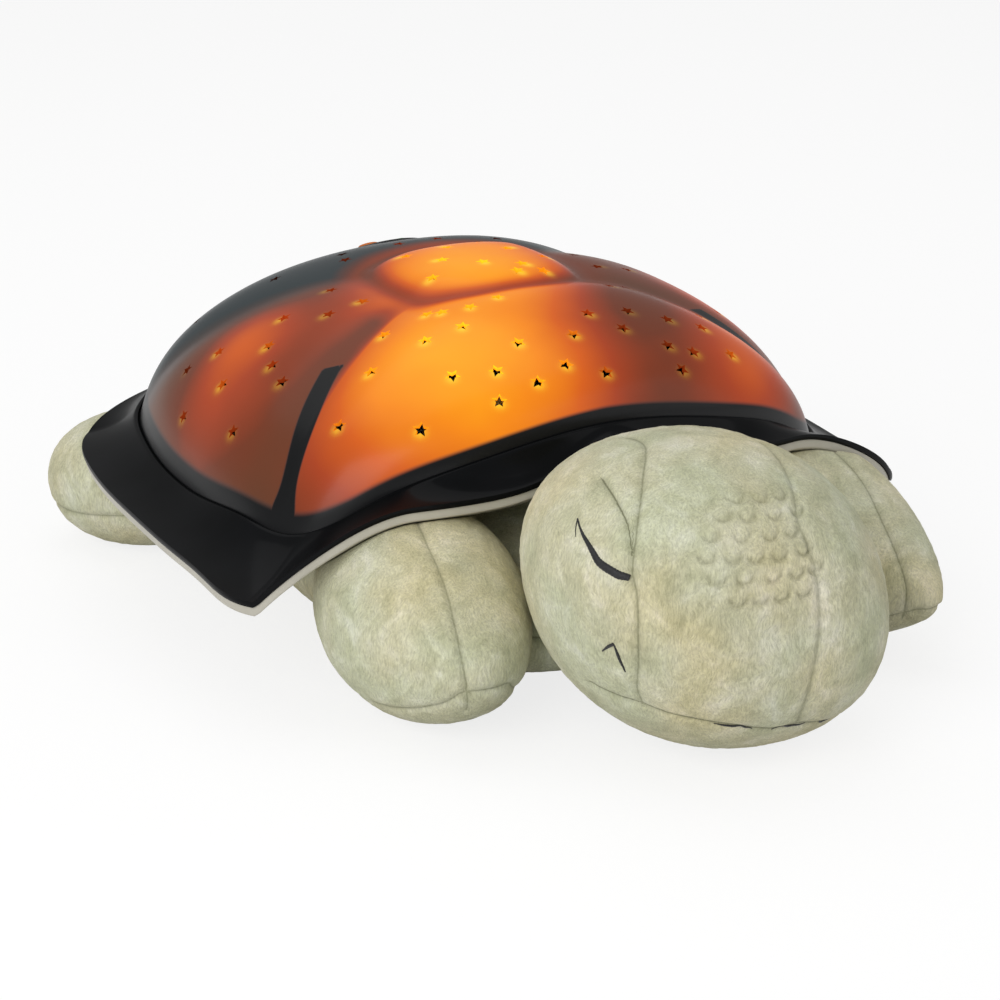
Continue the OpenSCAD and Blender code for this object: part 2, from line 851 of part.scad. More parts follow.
// A domed diode with a collar at its foot
module led(turn) {
    translate([led_ring * cos(turn), shell_y + led_ring * sin(turn), lamp_top])
        union() {
            cylinder(h = led_flange_h, r = led_d / 2 + led_flange, $fn = 32);
            cylinder(h = led_body, r = led_d / 2, $fn = 32);
            translate([0, 0, led_body]) sphere(r = led_d / 2, $fn = 32);
        }
}

module led_amber() { color([1.0, 0.62, 0.15]) led(90); }
module led_green() { color([0.30, 0.85, 0.40]) led(210); }
module led_blue() { color([0.25, 0.45, 0.95]) led(330); }

// A reflector cup that stands on the lamp board round the three diodes
module lamp_cup() {
    color([0.95, 0.95, 0.95])
        translate([0, shell_y, lamp_top])
            rotate_extrude($fn = 64)
                polygon([
                    [cup_foot_r, 0], [cup_foot_r + cup_foot_wide, 0],
                    [cup_foot_r + cup_foot_wide, cup_foot_h],
                    [cup_foot_r + cup_wall + 0.6, cup_foot_h],
                    [cup_mouth_r + cup_wall, cup_height], [cup_mouth_r, cup_height]
                ]);
}

// A bundle of wires through the given points, with round bends
module bundle(points) {
    for (k = [0 : len(points) - 2]) {
        p = points[k];
        way = points[k + 1] - p;
        translate(p)
            rotate([0, acos(way[2] / norm(way)), atan2(way[1], way[0])])
                cylinder(h = norm(way), r = wire_r, $fn = 16);
        if (k > 0)
            translate(p) sphere(r = wire_r + bend_extra, $fn = 16);
    }
}

module plug(x, y, z) {
    translate([x - plug_side / 2, shell_y + y - plug_side / 2, z])
        cube([plug_side, plug_side, plug_h]);
}

// From the timer board straight up to the lamp board
module lamp_wires() {
    low = timer_z + board_thick;
    color([0.85, 0.82, 0.75])
        union() {
            plug(20, 0, low);
            plug(20, 0, lamp_z - plug_h);
            bundle([[20, shell_y, low + 1], [20, shell_y, lamp_z - 1]]);
        }
}

// From the button board down the rear of the shell to the timer board
module panel_wires() {
    low = timer_z + board_thick;
    level = plate_top + wire_r + 1;
    start = in_shell(180, dome_rz(180, panel_at, 0));
    tilt = dome_tilt(180, panel_at);
    in = [0, -sin(tilt), -cos(tilt)];
    board = board_thick - button_board_z;
    color([0.85, 0.82, 0.75])
        union() {
            on_dome(180, panel_at)
                translate([-plug_side / 2, -plug_side / 2, -board - plug_h])
                    cube([plug_side, plug_side, plug_h]);
            bundle([
                start + (board + 1) * in,
                start + (board + 12) * in,
                [0, shell_y + 40, 84],
                [0, shell_y + 36, level],
                [0, shell_y + 8, level],
                [0, shell_y + 8, low + 1]
            ]);
            plug(0, 8, low);
        }
}

// ---------------------------------------------------------------- controls

module at_buttons() {
    for (turn = [45, 135, 225, 315])
        rotate([0, 0, turn])
            translate([button_ring, 0, 0])
                children();
}

module at_panel_posts() {
    for (turn = [0, 90, 180, 270])
        rotate([0, 0, turn])
            translate([panel_post_ring, 0, 0])
                children();
}

module button_panel() {
    color([0.16, 0.17, 0.17])
        on_dome(180, panel_at)
            difference() {
                union() {
                    translate([0, 0, -panel_seat])
                        cylinder(h = panel_plate, r = panel_d / 2, $fn = 72);
                    difference() {
                        translate([0, 0, -panel_deep])
                            cylinder(h = panel_deep - panel_seat + eps, r = panel_cup_r, $fn = 72);
                        translate([0, 0, -panel_deep - 1])
                            cylinder(h = panel_deep - panel_seat + 1,
                                r = panel_cup_r - panel_cup_wall, $fn = 72);
                    }
                    at_panel_posts()
                        translate([0, 0, button_board_z])
                            cylinder(h = -button_board_z - panel_seat + eps, r = panel_post_r, $fn = 32);
                }
                at_buttons()
                    translate([0, 0, -panel_deep])
                        cylinder(h = 2 * panel_deep, r = button_d / 2 + button_fit, $fn = 48);
                at_panel_posts()
                    translate([0, 0, button_board_z - 1])
                        cylinder(h = panel_screw_long + 1, r = small_r + pilot_gap, $fn = 24);
            }
}

// A cap, a collar that keeps it in the panel, and a stem over its switch
module button(turn) {
    top = button_out;
    collar = -panel_seat - button_flange_gap;
    on_dome(180, panel_at)
        rotate([0, 0, turn])
            translate([button_ring, 0, 0])
                union() {
                    translate([0, 0, collar - eps])
                        cylinder(h = top - collar - 0.4 + eps, r = button_d / 2, $fn = 48);
                    translate([0, 0, top - 0.4])
                        cylinder(h = 0.4, r1 = button_d / 2, r2 = button_d / 2 - 0.4, $fn = 48);
                    translate([0, 0, collar - button_flange_h])
                        cylinder(h = button_flange_h, r = button_d / 2 + button_flange, $fn = 48);
                    translate([0, 0, -button_stem_end])
                        cylinder(h = button_stem_end + collar, r = button_stem_r, $fn = 24);
                }
}

module power_button() { color([0.93, 0.93, 0.90]) button(45); }
module amber_button() { color([0.95, 0.55, 0.15]) button(135); }
module green_button() { color([0.35, 0.70, 0.35]) button(225); }
module blue_button() { color([0.25, 0.45, 0.80]) button(315); }

module button_board() {
    color([0.10, 0.38, 0.22])
        on_dome(180, panel_at)
            difference() {
                translate([0, 0, button_board_z - board_thick])
                    cylinder(h = board_thick, r = button_board_r, $fn = 64);
                at_panel_posts()
                    translate([0, 0, button_board_z - board_thick - 1])
                        cylinder(h = board_thick + 2, r = small_r + hole_gap, $fn = 24);
            }
}

module button_board_screws() {
    color([0.75, 0.75, 0.77])
        on_dome(180, panel_at)
            at_panel_posts()
                translate([0, 0, button_board_z - board_thick])
                    screw(small_head_r, small_head_h, small_r, panel_screw_long);
}

module button_switches() {
    tip = -button_stem_end - button_travel - switch_gap;
    color([0.12, 0.12, 0.13])
        on_dome(180, panel_at)
            at_buttons()
                union() {
                    translate([-switch_side / 2, -switch_side / 2, button_board_z])
                        cube([switch_side, switch_side, tip - switch_tip_h - button_board_z]);
                    translate([0, 0, tip - switch_tip_h - eps])
                        cylinder(h = switch_tip_h + eps, r = switch_tip_r, $fn = 24);
                }
}

// ---------------------------------------------------------------- plush

// A stuffed form along Y that swells from one end and closes at the other.
// ends: reach of both ends; x, z: centre line at both ends; half: half width
// and height; shift: where it is thickest; full: how blunt the ends are;
// square: how boxy it is across; lean: how far its top lies over, in X and Y.
// Nothing goes below the table.
function swell(t, shift, full) = pow(max(sin(180 * pow(t, shift)), 0), full);
function form_point(t, u, ends, x, z, half, shift, full, square, lean) =
    let (s = swell(t, shift, full), c = cos(u), v = sin(u))
    let (q = s * pow(pow(abs(c), square) + pow(abs(v), square), -1 / square))
    [
        x[0] + (x[1] - x[0]) * t + (half[0] * c + lean[0] * v) * q,
        shell_y + ends[0] + (ends[1] - ends[0]) * t + lean[1] * v * q,
        max(z[0] + (z[1] - z[0]) * t + half[1] * v * q, 0)
    ];

module stuffed(ends, x, z, half, shift = 1, full = 0.5, square = 2.2, lean = [0, 0]) {
    n = form_rings;
    m = form_sides;
    front = n * m;
    polyhedron(
        points = [
            for (i = [0 : n - 1], j = [0 : m - 1])
                let (t = (1 - cos(180 * (i + 0.4) / (n - 0.2))) / 2)
                form_point(t, 360 * j / m, ends, x, z, half, shift, full, square, lean),
            [x[0], shell_y + ends[0], z[0]],
            [x[1], shell_y + ends[1], z[1]]
        ],
        faces = [
            for (i = [0 : n - 2], j = [0 : m - 1])
                let (k = (j + 1) % m, p = i * m, q = (i + 1) * m)
                each [[p + j, p + k, q + k], [p + j, q + k, q + j]],
            for (j = [0 : m - 1]) [front, (j + 1) % m, j],
            for (j = [0 : m - 1]) [front + 1, (n - 1) * m + j, (n - 1) * m + (j + 1) % m]
        ]
    );
}

module torso_form(grow) {
    stuffed(
        ends = [-body_front - grow, body_rear + grow], x = [0, 0],
        z = [body_top - body_rise, body_top - body_rise],
        half = [body_half + grow, body_rise + grow], full = 0.3, square = 3
    );
}

module head_form(grow) {
    stuffed(
        ends = [-nose_reach - grow, -neck_reach + grow], x = [0, 0], z = head_z,
        half = [head_half + grow, head_rise + grow], shift = 0.94, full = 0.34, lean = head_lean
    );
}

// The left paw is stretched further forward and out than the right one
module paw_form(side) {
    right = side < 0;
    stuffed(
        ends = right ? right_paw_ends : left_paw_ends,
        x = right ? right_paw_x : left_paw_x,
        z = right ? right_paw_z : left_paw_z,
        half = [paw_half, paw_rise],
        shift = right ? right_paw_shift : left_paw_shift,
        lean = paw_lean
    );
}

module flipper_form(side) {
    stuffed(
        ends = [flipper_root, flipper_reach], x = side * flipper_x, z = flipper_z,
        half = [flipper_half, flipper_rise], shift = 1.35, full = 0.55
    );
}

plush = [0.66, 0.68, 0.52];

// The body has a square opening that the battery box runs through
module torso() {
    color(plush)
        difference() {
            torso_form(0);
            box_at(tub_x + 2 * cloth_gap, tub_y + 2 * cloth_gap, -1, plate_z);
        }
}

module head() {
    color(plush)
        difference() {
            head_form(0);
            torso_form(cloth_gap);
        }
}

module paw(side) {
    color(plush)
        difference() {
            paw_form(side);
            torso_form(cloth_gap);
            head_form(cloth_gap);
            round_shell(front_turns, [for (a = front_turns) room_section(a)]);
        }
}

module front_right_paw() { paw(-1); }
module front_left_paw() { paw(1); }

module flipper(side) {
    color(plush)
        difference() {
            flipper_form(side);
            torso_form(cloth_gap);
            round_shell(rear_turns, [for (a = rear_turns) room_section(a)]);
        }
}

module rear_right_flipper() { flipper(-1); }
module rear_left_flipper() { flipper(1); }

module tail() {
    color(plush)
        difference() {
            stuffed(
                ends = [tail_root, tail_tip], x = [0, 0], z = tail_z,
                half = tail_half, shift = tail_shift
            );
            torso_form(cloth_gap);
        }
}

// ---------------------------------------------------------------- drawing

shell_dome();
shell_skirt();
lower_shell();
shell_screws();
chassis();
chassis_screws();
battery_1();
battery_2();
battery_3();
battery_contacts();
battery_leads();
battery_door();
door_screws();
timer_board();
timer_board_screws();
timer_chip();
lamp_board();
lamp_board_screws();
led_amber();
led_green();
led_blue();
lamp_cup();
lamp_wires();
panel_wires();
button_panel();
button_board();
button_board_screws();
button_switches();
power_button();
amber_button();
green_button();
blue_button();
torso();
head();
front_right_paw();
front_left_paw();
rear_right_flipper();
rear_left_flipper();
tail();
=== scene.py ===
import math

import bpy
import numpy as np
from mathutils import Matrix, Vector, noise
from mathutils.bvhtree import BVHTree
from mathutils.kdtree import KDTree


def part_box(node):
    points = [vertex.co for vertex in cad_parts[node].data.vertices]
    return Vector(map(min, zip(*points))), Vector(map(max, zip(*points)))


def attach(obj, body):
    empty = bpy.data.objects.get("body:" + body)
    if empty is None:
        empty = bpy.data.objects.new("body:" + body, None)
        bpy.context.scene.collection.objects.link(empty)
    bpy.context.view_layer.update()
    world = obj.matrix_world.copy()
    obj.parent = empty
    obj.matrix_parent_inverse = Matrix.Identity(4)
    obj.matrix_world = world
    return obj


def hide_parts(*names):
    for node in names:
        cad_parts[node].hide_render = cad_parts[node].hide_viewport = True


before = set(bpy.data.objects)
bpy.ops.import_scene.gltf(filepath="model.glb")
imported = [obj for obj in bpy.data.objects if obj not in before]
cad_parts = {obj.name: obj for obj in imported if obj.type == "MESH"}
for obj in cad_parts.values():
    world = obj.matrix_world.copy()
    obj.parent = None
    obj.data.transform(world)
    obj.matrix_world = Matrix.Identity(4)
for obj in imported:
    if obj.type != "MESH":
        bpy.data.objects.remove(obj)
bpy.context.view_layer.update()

# ------------------------------------------------------------------ camera
# A long lens in front of the turtle's right side, a little above the table.
# The turtle's shell sits 42 mm behind the middle of its footprint.
shell_y = 0.042
aim = Vector((0.001, shell_y - 0.019, 0.040))
side_turn = math.radians(-28.5)
looks_down = math.radians(20.3)
stand = aim + 1.10 * Vector((
    math.sin(side_turn) * math.cos(looks_down),
    -math.cos(side_turn) * math.cos(looks_down),
    math.sin(looks_down),
))
bpy.ops.object.select_all(action="DESELECT")
bpy.ops.object.camera_add(location=stand, rotation=(aim - stand).to_track_quat("-Z", "Y").to_euler())
camera = bpy.context.object
camera.name = "camera"
camera.data.lens = 99
camera.data.sensor_width = 36
bpy.context.scene.camera = camera
bpy.context.scene.view_settings.view_transform = "Standard"


# ------------------------------------------------------------ table and light
# A plain white table top that runs out of sight, under large soft lamps: one
# high on the left, one low on the right, one above and behind the turtle.
def linear(code):
    """The linear colour of an sRGB hex value such as c8c9b0."""
    out = []
    for k in (0, 2, 4):
        c = int(code[k:k + 2], 16) / 255
        out.append(c / 12.92 if c <= 0.04045 else ((c + 0.055) / 1.055) ** 2.4)
    return (*out, 1.0)


def plug(socket, value):
    """Links a socket to another or to a node's output in use. A plain value is set
    on it, and a hex value is a colour."""
    if isinstance(value, bpy.types.Node):
        value = next(out for out in value.outputs if out.enabled)
    if isinstance(value, bpy.types.NodeSocket):
        socket.id_data.links.new(value, socket)
    else:
        socket.default_value = linear(value) if isinstance(value, str) else value


def add_node(material, kind, inputs=(), stops=(), **settings):
    """Adds a node with its settings, inputs and, on a colour ramp, its stops."""
    made = material.node_tree.nodes.new("ShaderNode" + kind)
    for key, value in settings.items():
        setattr(made, key, value)
    for key, value in dict(inputs).items():
        plug(made.inputs[key], value)
    for k, (place, colour) in enumerate(stops):
        if k >= len(made.color_ramp.elements):
            made.color_ramp.elements.new(place)
        made.color_ramp.elements[k].position = place
        made.color_ramp.elements[k].color = linear(colour) if isinstance(colour, str) else colour
    return made


def shade(material, **sockets):
    """Fills sockets of the material's Principled shader."""
    shader = material.node_tree.nodes["Principled BSDF"]
    for name, value in sockets.items():
        plug(shader.inputs[name.replace("_", " ")], value)


def new_material(name, **sockets):
    """A material with one Principled shader, whose plain sockets are set here."""
    made = bpy.data.materials.new(name)
    made.use_nodes = True
    shade(made, **sockets)
    return made


bpy.ops.mesh.primitive_plane_add(size=16)
table = bpy.context.object
table.name = "table_top"
white_table = new_material("white_table", Roughness=0.9, Emission_Strength=1.0)
ray = add_node(white_table, "LightPath").outputs
mirrored = add_node(
    white_table, "Math", {0: ray["Is Glossy Ray"], 1: ray["Is Transmission Ray"]}, operation="ADD")
seen = add_node(white_table, "Math", {0: ray["Is Camera Ray"], 1: mirrored}, operation="ADD", use_clamp=True)
table_colour = add_node(white_table, "Mix", {0: seen, 6: "d8d8d8", 7: "7c7c7c"}, data_type="RGBA")
table_glow = add_node(white_table, "Mix", {0: seen, 6: "000000", 7: "e7e7e7"}, data_type="RGBA")
shade(white_table, Base_Color=table_colour, Emission_Color=table_glow)
table.data.materials.append(white_table)

for lamp_name, place, size, watts in (
    ("lamp_left", (-1.25, -0.80, 0.75), 1.1, 15.0),
    ("lamp_right", (0.95, -1.05, 0.75), 1.3, 4.0),
    ("lamp_above", (-0.10, 0.45, 1.50), 1.5, 6.0),
):
    bpy.ops.object.light_add(type="AREA", location=place)
    lamp = bpy.context.object
    lamp.name = lamp_name
    lamp.data.size = size
    lamp.data.energy = watts
    lamp.rotation_euler = (Vector((0, 0, 0.05)) - Vector(place)).to_track_quat("-Z", "Y").to_euler()
room = bpy.data.worlds.new("room")
bpy.context.scene.world = room
room.use_nodes = True
ray = add_node(room, "LightPath").outputs
backdrop = add_node(room, "MapRange", {"Value": ray["Is Camera Ray"], "To Min": 0.40, "To Max": 0.91})
room_light = room.node_tree.nodes["Background"].inputs
plug(room_light["Color"], "ffffff")
plug(room_light["Strength"], backdrop)


# ------------------------------------------------------------------- dome
# The shell is one thin moulding of clear amber styrene, lit from inside, with
# star holes punched through it; its glow is painted on as emission. Black paint
# is sprayed on its edge and the valleys, and its rear scute is darkened to slate
# as painted shade. Its lower edge sits in the skirt's lip.
# Sizes are in millimetres, turns in degrees from the head, levels from 0 to 1.
dome_top, dome_wall = 137, 2
seam_front, seam_rear, seam_side = 104, 114, 126
corner_front, corner_rear = 56, 126
valley_front, valley_rear, valley_depth, valley_width = 61, 121, 6.5, 10
ring_level, ring_depth, ring_width = 0.79, 3.5, 0.05
star_reach, star_waist, star_twist = 3.1, 0.45, 47
panel_level = 0.439


def hill(x, w):
    """A smooth hill of height 1 at 0, about w wide to each side."""
    return np.exp(-x * x / (w * w))


def crease(x, w):
    """Like a hill, but with a sharp top: a crease where two cushions meet."""
    return np.exp(-(np.sqrt(x * x + 0.02 * w * w) / w) ** 1.25)


def held(x):
    return np.clip(x, 0, 1)


def oval(a, front, rear, side, square):
    """Radius at this turn of an oval that has its own reach in front and behind."""
    c, s = np.cos(np.radians(a)), np.sin(np.radians(a))
    ahead = np.where(c > 0, front, rear)
    return ((np.abs(c) / ahead) ** square + (np.abs(s) / side) ** square) ** (-1 / square)


def seam_r(a):
    """Radius of the dome's lower edge, which has four soft corners."""
    b = np.abs(a)
    edge = oval(a, seam_front, seam_rear, seam_side, 2.8)
    return edge + 5 * hill(b - corner_front, 11) + 4 * hill(b - corner_rear, 11)


def seam_z(a):
    """Height of that edge, which rises over the head and the tail."""
    b, c = np.abs(a), np.cos(np.radians(a))
    lift = np.where(c > 0, 36, 24) * np.abs(c) ** 1.9
    return 61 + lift - 9 * hill(b - corner_front, 11) - 2 * hill(b - corner_rear, 11)


def carved(a, t):
    """How deep the valleys and the ring round the top scute are at this place."""
    b, w = np.abs(a), valley_width / np.maximum(np.cos(np.pi / 2 * t), 0.3)
    across = crease(b - valley_front, np.where(b < valley_front, 0.7 * w, w)) + crease(b - valley_rear, w)
    along = np.sin(np.pi * held(t / 0.9)) ** 0.6 * held((0.86 - t) / 0.1)
    return valley_depth * across * along + ring_depth * crease(t - ring_level, ring_width)


def dome_section(a, t, inset):
    """Radius and height of the dome at this turn and level, this far inside its face."""
    f, d, z0 = np.pi / 2 * t, carved(a, t), seam_z(a)
    return (seam_r(a) - inset - d) * np.cos(f), z0 + (dome_top - inset - z0) * np.sin(f) - d * np.sin(f)


def in_shell(a, r, z):
    """Millimetres round the shell's axis, made metres in the frame."""
    x, y = r * np.sin(np.radians(a)) / 1000, shell_y - r * np.cos(np.radians(a)) / 1000
    return np.stack([x, y, z / 1000], -1)


def skin(name, rings, tips=()):
    """A closed surface from rings of points; two tips close it, or it wraps round."""
    rings = np.array(rings)
    count, n = rings.shape[:2]
    faces = []
    for s in range(count - 1 if len(tips) else count):
        k = (s + 1) % count
        faces += [(s * n + j, k * n + j, k * n + (j + 1) % n, s * n + (j + 1) % n) for j in range(n)]
    points = rings.reshape(-1, 3).tolist()
    if len(tips):
        points += [list(p) for p in tips]
        faces += [(count * n, j, (j + 1) % n) for j in range(n)]
        faces += [(count * n + 1, (count - 1) * n + (j + 1) % n, (count - 1) * n + j) for j in range(n)]
    data = bpy.data.meshes.new(name)
    data.from_pydata(points, [], faces)
    made = bpy.data.objects.new(name, data)
    bpy.context.scene.collection.objects.link(made)
    face_out(made)
    bpy.ops.object.shade_smooth()
    return made


def alone(piece):
    """Makes a piece the only one that is selected, and the active one."""
    bpy.ops.object.select_all(action="DESELECT")
    piece.select_set(True)
    bpy.context.view_layer.objects.active = piece


def face_out(piece):
    alone(piece)
    bpy.ops.object.mode_set(mode="EDIT")
    bpy.ops.mesh.select_all(action="SELECT")
    bpy.ops.mesh.normals_make_consistent(inside=False)
    bpy.ops.object.mode_set(mode="OBJECT")


def finish_with(piece, kind, **settings):
    """Adds a modifier and applies it."""
    alone(piece)
    modifier = piece.modifiers.new(kind.lower(), kind)
    for key, value in settings.items():
        setattr(modifier, key, value)
    bpy.ops.object.modifier_apply(modifier=modifier.name)


def cut(piece, tool, operation="DIFFERENCE"):
    finish_with(piece, "BOOLEAN", object=tool, operation=operation, solver="MANIFOLD")
    bpy.data.objects.remove(tool)


def settle(piece):
    """Moves a piece's place and turn into its mesh, so that it sits at the origin."""
    piece.data.transform(piece.matrix_world)
    piece.matrix_world = Matrix()


def upright(x, y, low, high, reach):
    """A pin or a bore along Z."""
    bpy.ops.mesh.primitive_cylinder_add(
        vertices=48, radius=reach, depth=high - low, location=(x, y, (high + low) / 2))
    made = bpy.context.object
    settle(made)
    return made


def crisp(piece, degrees):
    """Shades a piece smooth, but for edges that are sharper than this."""
    alone(piece)
    bpy.ops.object.shade_smooth_by_angle(angle=math.radians(degrees))


def paint(piece, material):
    piece.data.materials.clear()
    piece.data.materials.append(material)


def mark(piece, name, values):
    """Stores a number on every corner of the mesh, which a later cut keeps."""
    corners = np.empty(len(piece.data.loops), np.int32)
    piece.data.loops.foreach_get("vertex_index", corners)
    made = piece.data.attributes.new(name, "FLOAT", "CORNER")
    made.data.foreach_set("value", np.asarray(values, np.float32)[corners])


dome_turns = np.arange(400) * 0.9 - 180
dome_levels = np.concatenate([np.linspace(0, 0.94, 104), [0.958, 0.975, 0.99]])
inner_levels = np.linspace(0, 0.97, 30)
dome = skin(
    "amber_dome",
    [in_shell(dome_turns, *dome_section(dome_turns, t, 0)) for t in dome_levels[::-1]]
    + [in_shell(dome_turns, *dome_section(dome_turns, t, dome_wall)) for t in inner_levels],
    tips=[(0, shell_y, top / 1000) for top in (dome_top, dome_top - dome_wall)],
)
turns = np.concatenate([np.tile(dome_turns, len(dome_levels) + len(inner_levels)), [0, 0]])
levels = np.concatenate([np.repeat(np.concatenate([dome_levels[::-1], inner_levels]), len(dome_turns)), [1, 1]])
inside = np.arange(len(turns)) >= len(dome_levels) * len(dome_turns)
inside[-2:] = (False, True)
beside = np.abs(turns)

# Star holes are strewn over the scutes; each has a turn round the shell and a
# height up the dome. Those of the side and rear scutes are the same left and right.
front_stars = (
    (-58, 0.65), (-53, 0.51), (-54, 0.34), (-47, 0.71), (-42, 0.58), (-38, 0.23),
    (-33, 0.41), (-41, 0.7), (-32, 0.61), (-30, 0.7), (-23, 0.39), (-23, 0.26),
    (-17, 0.73), (-16, 0.49), (-14, 0.3), (-6, 0.35), (1, 0.48), (3, 0.28),
    (12, 0.57), (17, 0.48), (26, 0.56), (34, 0.5), (41, 0.45), (24, 0.38),
    (29, 0.34), (22, 0.26), (39, 0.32), (45, 0.71), (56, 0.7), (52, 0.52),
)
side_stars = (
    (89, 0.49), (81, 0.45), (91, 0.34), (74, 0.42), (108, 0.3), (103, 0.4),
    (83, 0.72), (85, 0.64), (107, 0.7), (98, 0.57), (78, 0.24), (97, 0.2),
)
rear_stars = (
    (132, 0.32), (136, 0.55), (143, 0.41), (147, 0.22), (151, 0.65), (158, 0.33),
    (170, 0.71), (143, 0.7),
)
top_stars = (
    (-62, 0.86), (-9, 0.94), (17, 0.86), (36, 0.89), (37, 0.84), (75, 0.86),
    (107, 0.91), (150, 0.86), (-170, 0.9), (-128, 0.87), (-95, 0.93),
)
star_places = list(front_stars)
star_places += [(side * turn, level) for turn, level in side_stars + rear_stars for side in (-1, 1)]
star_places += top_stars
star_spots = [
    (float(turn), level, k, in_shell(float(turn), *dome_section(float(turn), level, 0)))
    for k, (turn, level) in enumerate(star_places)
]


def on_dome(turn, level):
    """The place on the dome at this angle and level, with Z straight out of the wall."""
    low = np.array(dome_section(turn, level - 0.01, 0))
    high = np.array(dome_section(turn, level + 0.01, 0))
    tilt = math.atan2(high[1] - low[1], low[0] - high[0])
    spot = in_shell(turn, *dome_section(turn, level, 0))
    faced = Matrix.Rotation(math.radians(turn - 90), 4, "Z") @ Matrix.Rotation(tilt, 4, "Y")
    return Matrix.Translation(spot) @ faced


# The punch is a ten-sided prism; every other side is drawn in to make a star
bpy.ops.object.select_all(action="DESELECT")
bpy.ops.mesh.primitive_circle_add(
    vertices=10, radius=star_reach / 1000, fill_type="NGON", location=(0, 0, -0.005))
star_punch = bpy.context.object
bpy.ops.object.mode_set(mode="EDIT")
bpy.ops.mesh.select_all(action="SELECT")
bpy.ops.mesh.extrude_region_move(TRANSFORM_OT_translate={"value": (0, 0, 0.008)})
bpy.ops.object.mode_set(mode="OBJECT")
settle(star_punch)
for k, v in enumerate(star_punch.data.vertices):
    if round((math.degrees(math.atan2(v.co.y, v.co.x)) - 90) / 36) % 2:
        v.co.x *= star_waist
        v.co.y *= star_waist
punches = []
for turn, level, k, spot in star_spots:
    one = star_punch.copy()
    one.data = star_punch.data.copy()
    one.data.transform(on_dome(turn, level) @ Matrix.Rotation(math.radians(star_twist * k), 4, "Z"))
    bpy.context.scene.collection.objects.link(one)
    punches.append(one)
bpy.data.objects.remove(star_punch)
bpy.ops.object.select_all(action="DESELECT")
for one in punches:
    one.select_set(True)
bpy.context.view_layer.objects.active = punches[0]
bpy.ops.object.join()
punches = bpy.context.object
face_out(punches)

# Painted glow: how strongly each spot of the wall glows with the lamp's light,
# as emission; each light has a turn, a level, a reach and a share. The other
# marks say how far the spot is from each painted edge, and where the rear scute
# is darkened as painted shade.
where = in_shell(turns, *dome_section(turns, levels, 0))
glow = np.zeros(len(turns))
for turn, level, reach, share in (
    (-33, 0.50, 42, 1.35), (-48, 0.24, 42, 0.38), (-14, 0.14, 42, 0.40), (-88, 0.26, 32, 0.32),
    (-98, 0.48, 24, 0.46), (-60, 0.94, 38, 1.1), (38, 0.20, 36, 0.42), (56, 0.45, 26, 0.36),
    (86, 0.30, 44, 0.62), (150, 0.93, 30, 0.45), (4, 0.80, 26, 0.35),
):
    spot = in_shell(float(turn), *dome_section(float(turn), level, 0))
    glow += share * np.exp(-(np.linalg.norm(where - spot, axis=1) * 1000 / reach) ** 2)
glow = 1.06 * (1 - np.exp(-1.35 * glow))
# Painted shade in the valley beside the front scute, on the side scute's side
glow *= 1 - 0.6 * hill(beside - 65, 7) * held((0.78 - levels) / 0.1) * held((beside - 60.6) / 1.2 + 0.15)
# Painted shade along the ring groove round the top scute
glow *= 1 - 0.5 * hill(levels - 0.795, 0.028)
# Painted glow: a bright spot just below each star hole, kept only where the wall's painted glow is lit
spark = np.zeros(len(turns))
for turn, level, k, spot in star_spots:
    lower = in_shell(turn, *dome_section(turn, level - 0.013, 0))
    reach = np.linalg.norm(where - lower, axis=1) * 1000
    spark = np.maximum(spark, np.exp(-(reach / 2.1) ** 2))
arc = np.maximum(np.cos(np.pi / 2 * levels), 0.1) * 115 * math.pi / 180
stripe_middle = np.where(beside < 91, 60.2 + 4.7 * held((levels - 0.11) / 0.405) ** 1.6, 121.0)
stripe_half = 3.1 + 2.2 * hill(levels - 0.04, 0.08) + 0.6 * hill(levels - 0.35, 0.12)
stripe_top = 0.517 - 0.0095 * (beside - 64.9)
stripe = np.maximum(np.abs(beside - stripe_middle) * arc - stripe_half, (levels - stripe_top) * 150)
band = levels * 150 - (10.5 + 5.5 * held(1 - np.abs(turns) / 48) ** 0.7 + 4 * held((beside - 66) / 40))
# Painted shade: the rear scute is darkened to slate, and its glow is put out
rear_shade = held((beside - 112) / 13) * held((0.765 - levels) / 0.05)
mark(dome, "glow", glow)
mark(dome, "spark", spark * held(glow * 1.3 - 0.15))
mark(dome, "stripe", stripe)
mark(dome, "band", band)
mark(dome, "rear_shade", rear_shade)
mark(dome, "inside", inside.astype(float))

# Clear amber polystyrene, moulded glossy, with its glow painted on as emission: it
# glows where the lamp is near and is brown where it is not. The paint is lacquer, as
# glossy as the plastic; the rear scute's slate is painted shade.
amber_styrene = new_material(
    "amber_styrene", Roughness=0.42, IOR=1.59, Specular_IOR_Level=0.1, Coat_Weight=0.2, Coat_Roughness=0.22,
    Emission_Strength=1.0,
)
lit, sparkle, off_band, off_stripe, rear_shading = (
    add_node(amber_styrene, "Attribute", attribute_name=mark_name).outputs["Fac"]
    for mark_name in ("glow", "spark", "band", "stripe", "rear_shade")
)
place = add_node(amber_styrene, "TexCoord").outputs["Object"]
drift = add_node(amber_styrene, "TexNoise", {"Vector": place, "Scale": 28.0, "Detail": 2.0})
cloud = add_node(amber_styrene, "Math", {0: drift, 1: 0.16, 2: -0.08}, operation="MULTIPLY_ADD")
shade_here = add_node(amber_styrene, "Math", {0: lit, 1: cloud}, operation="ADD")
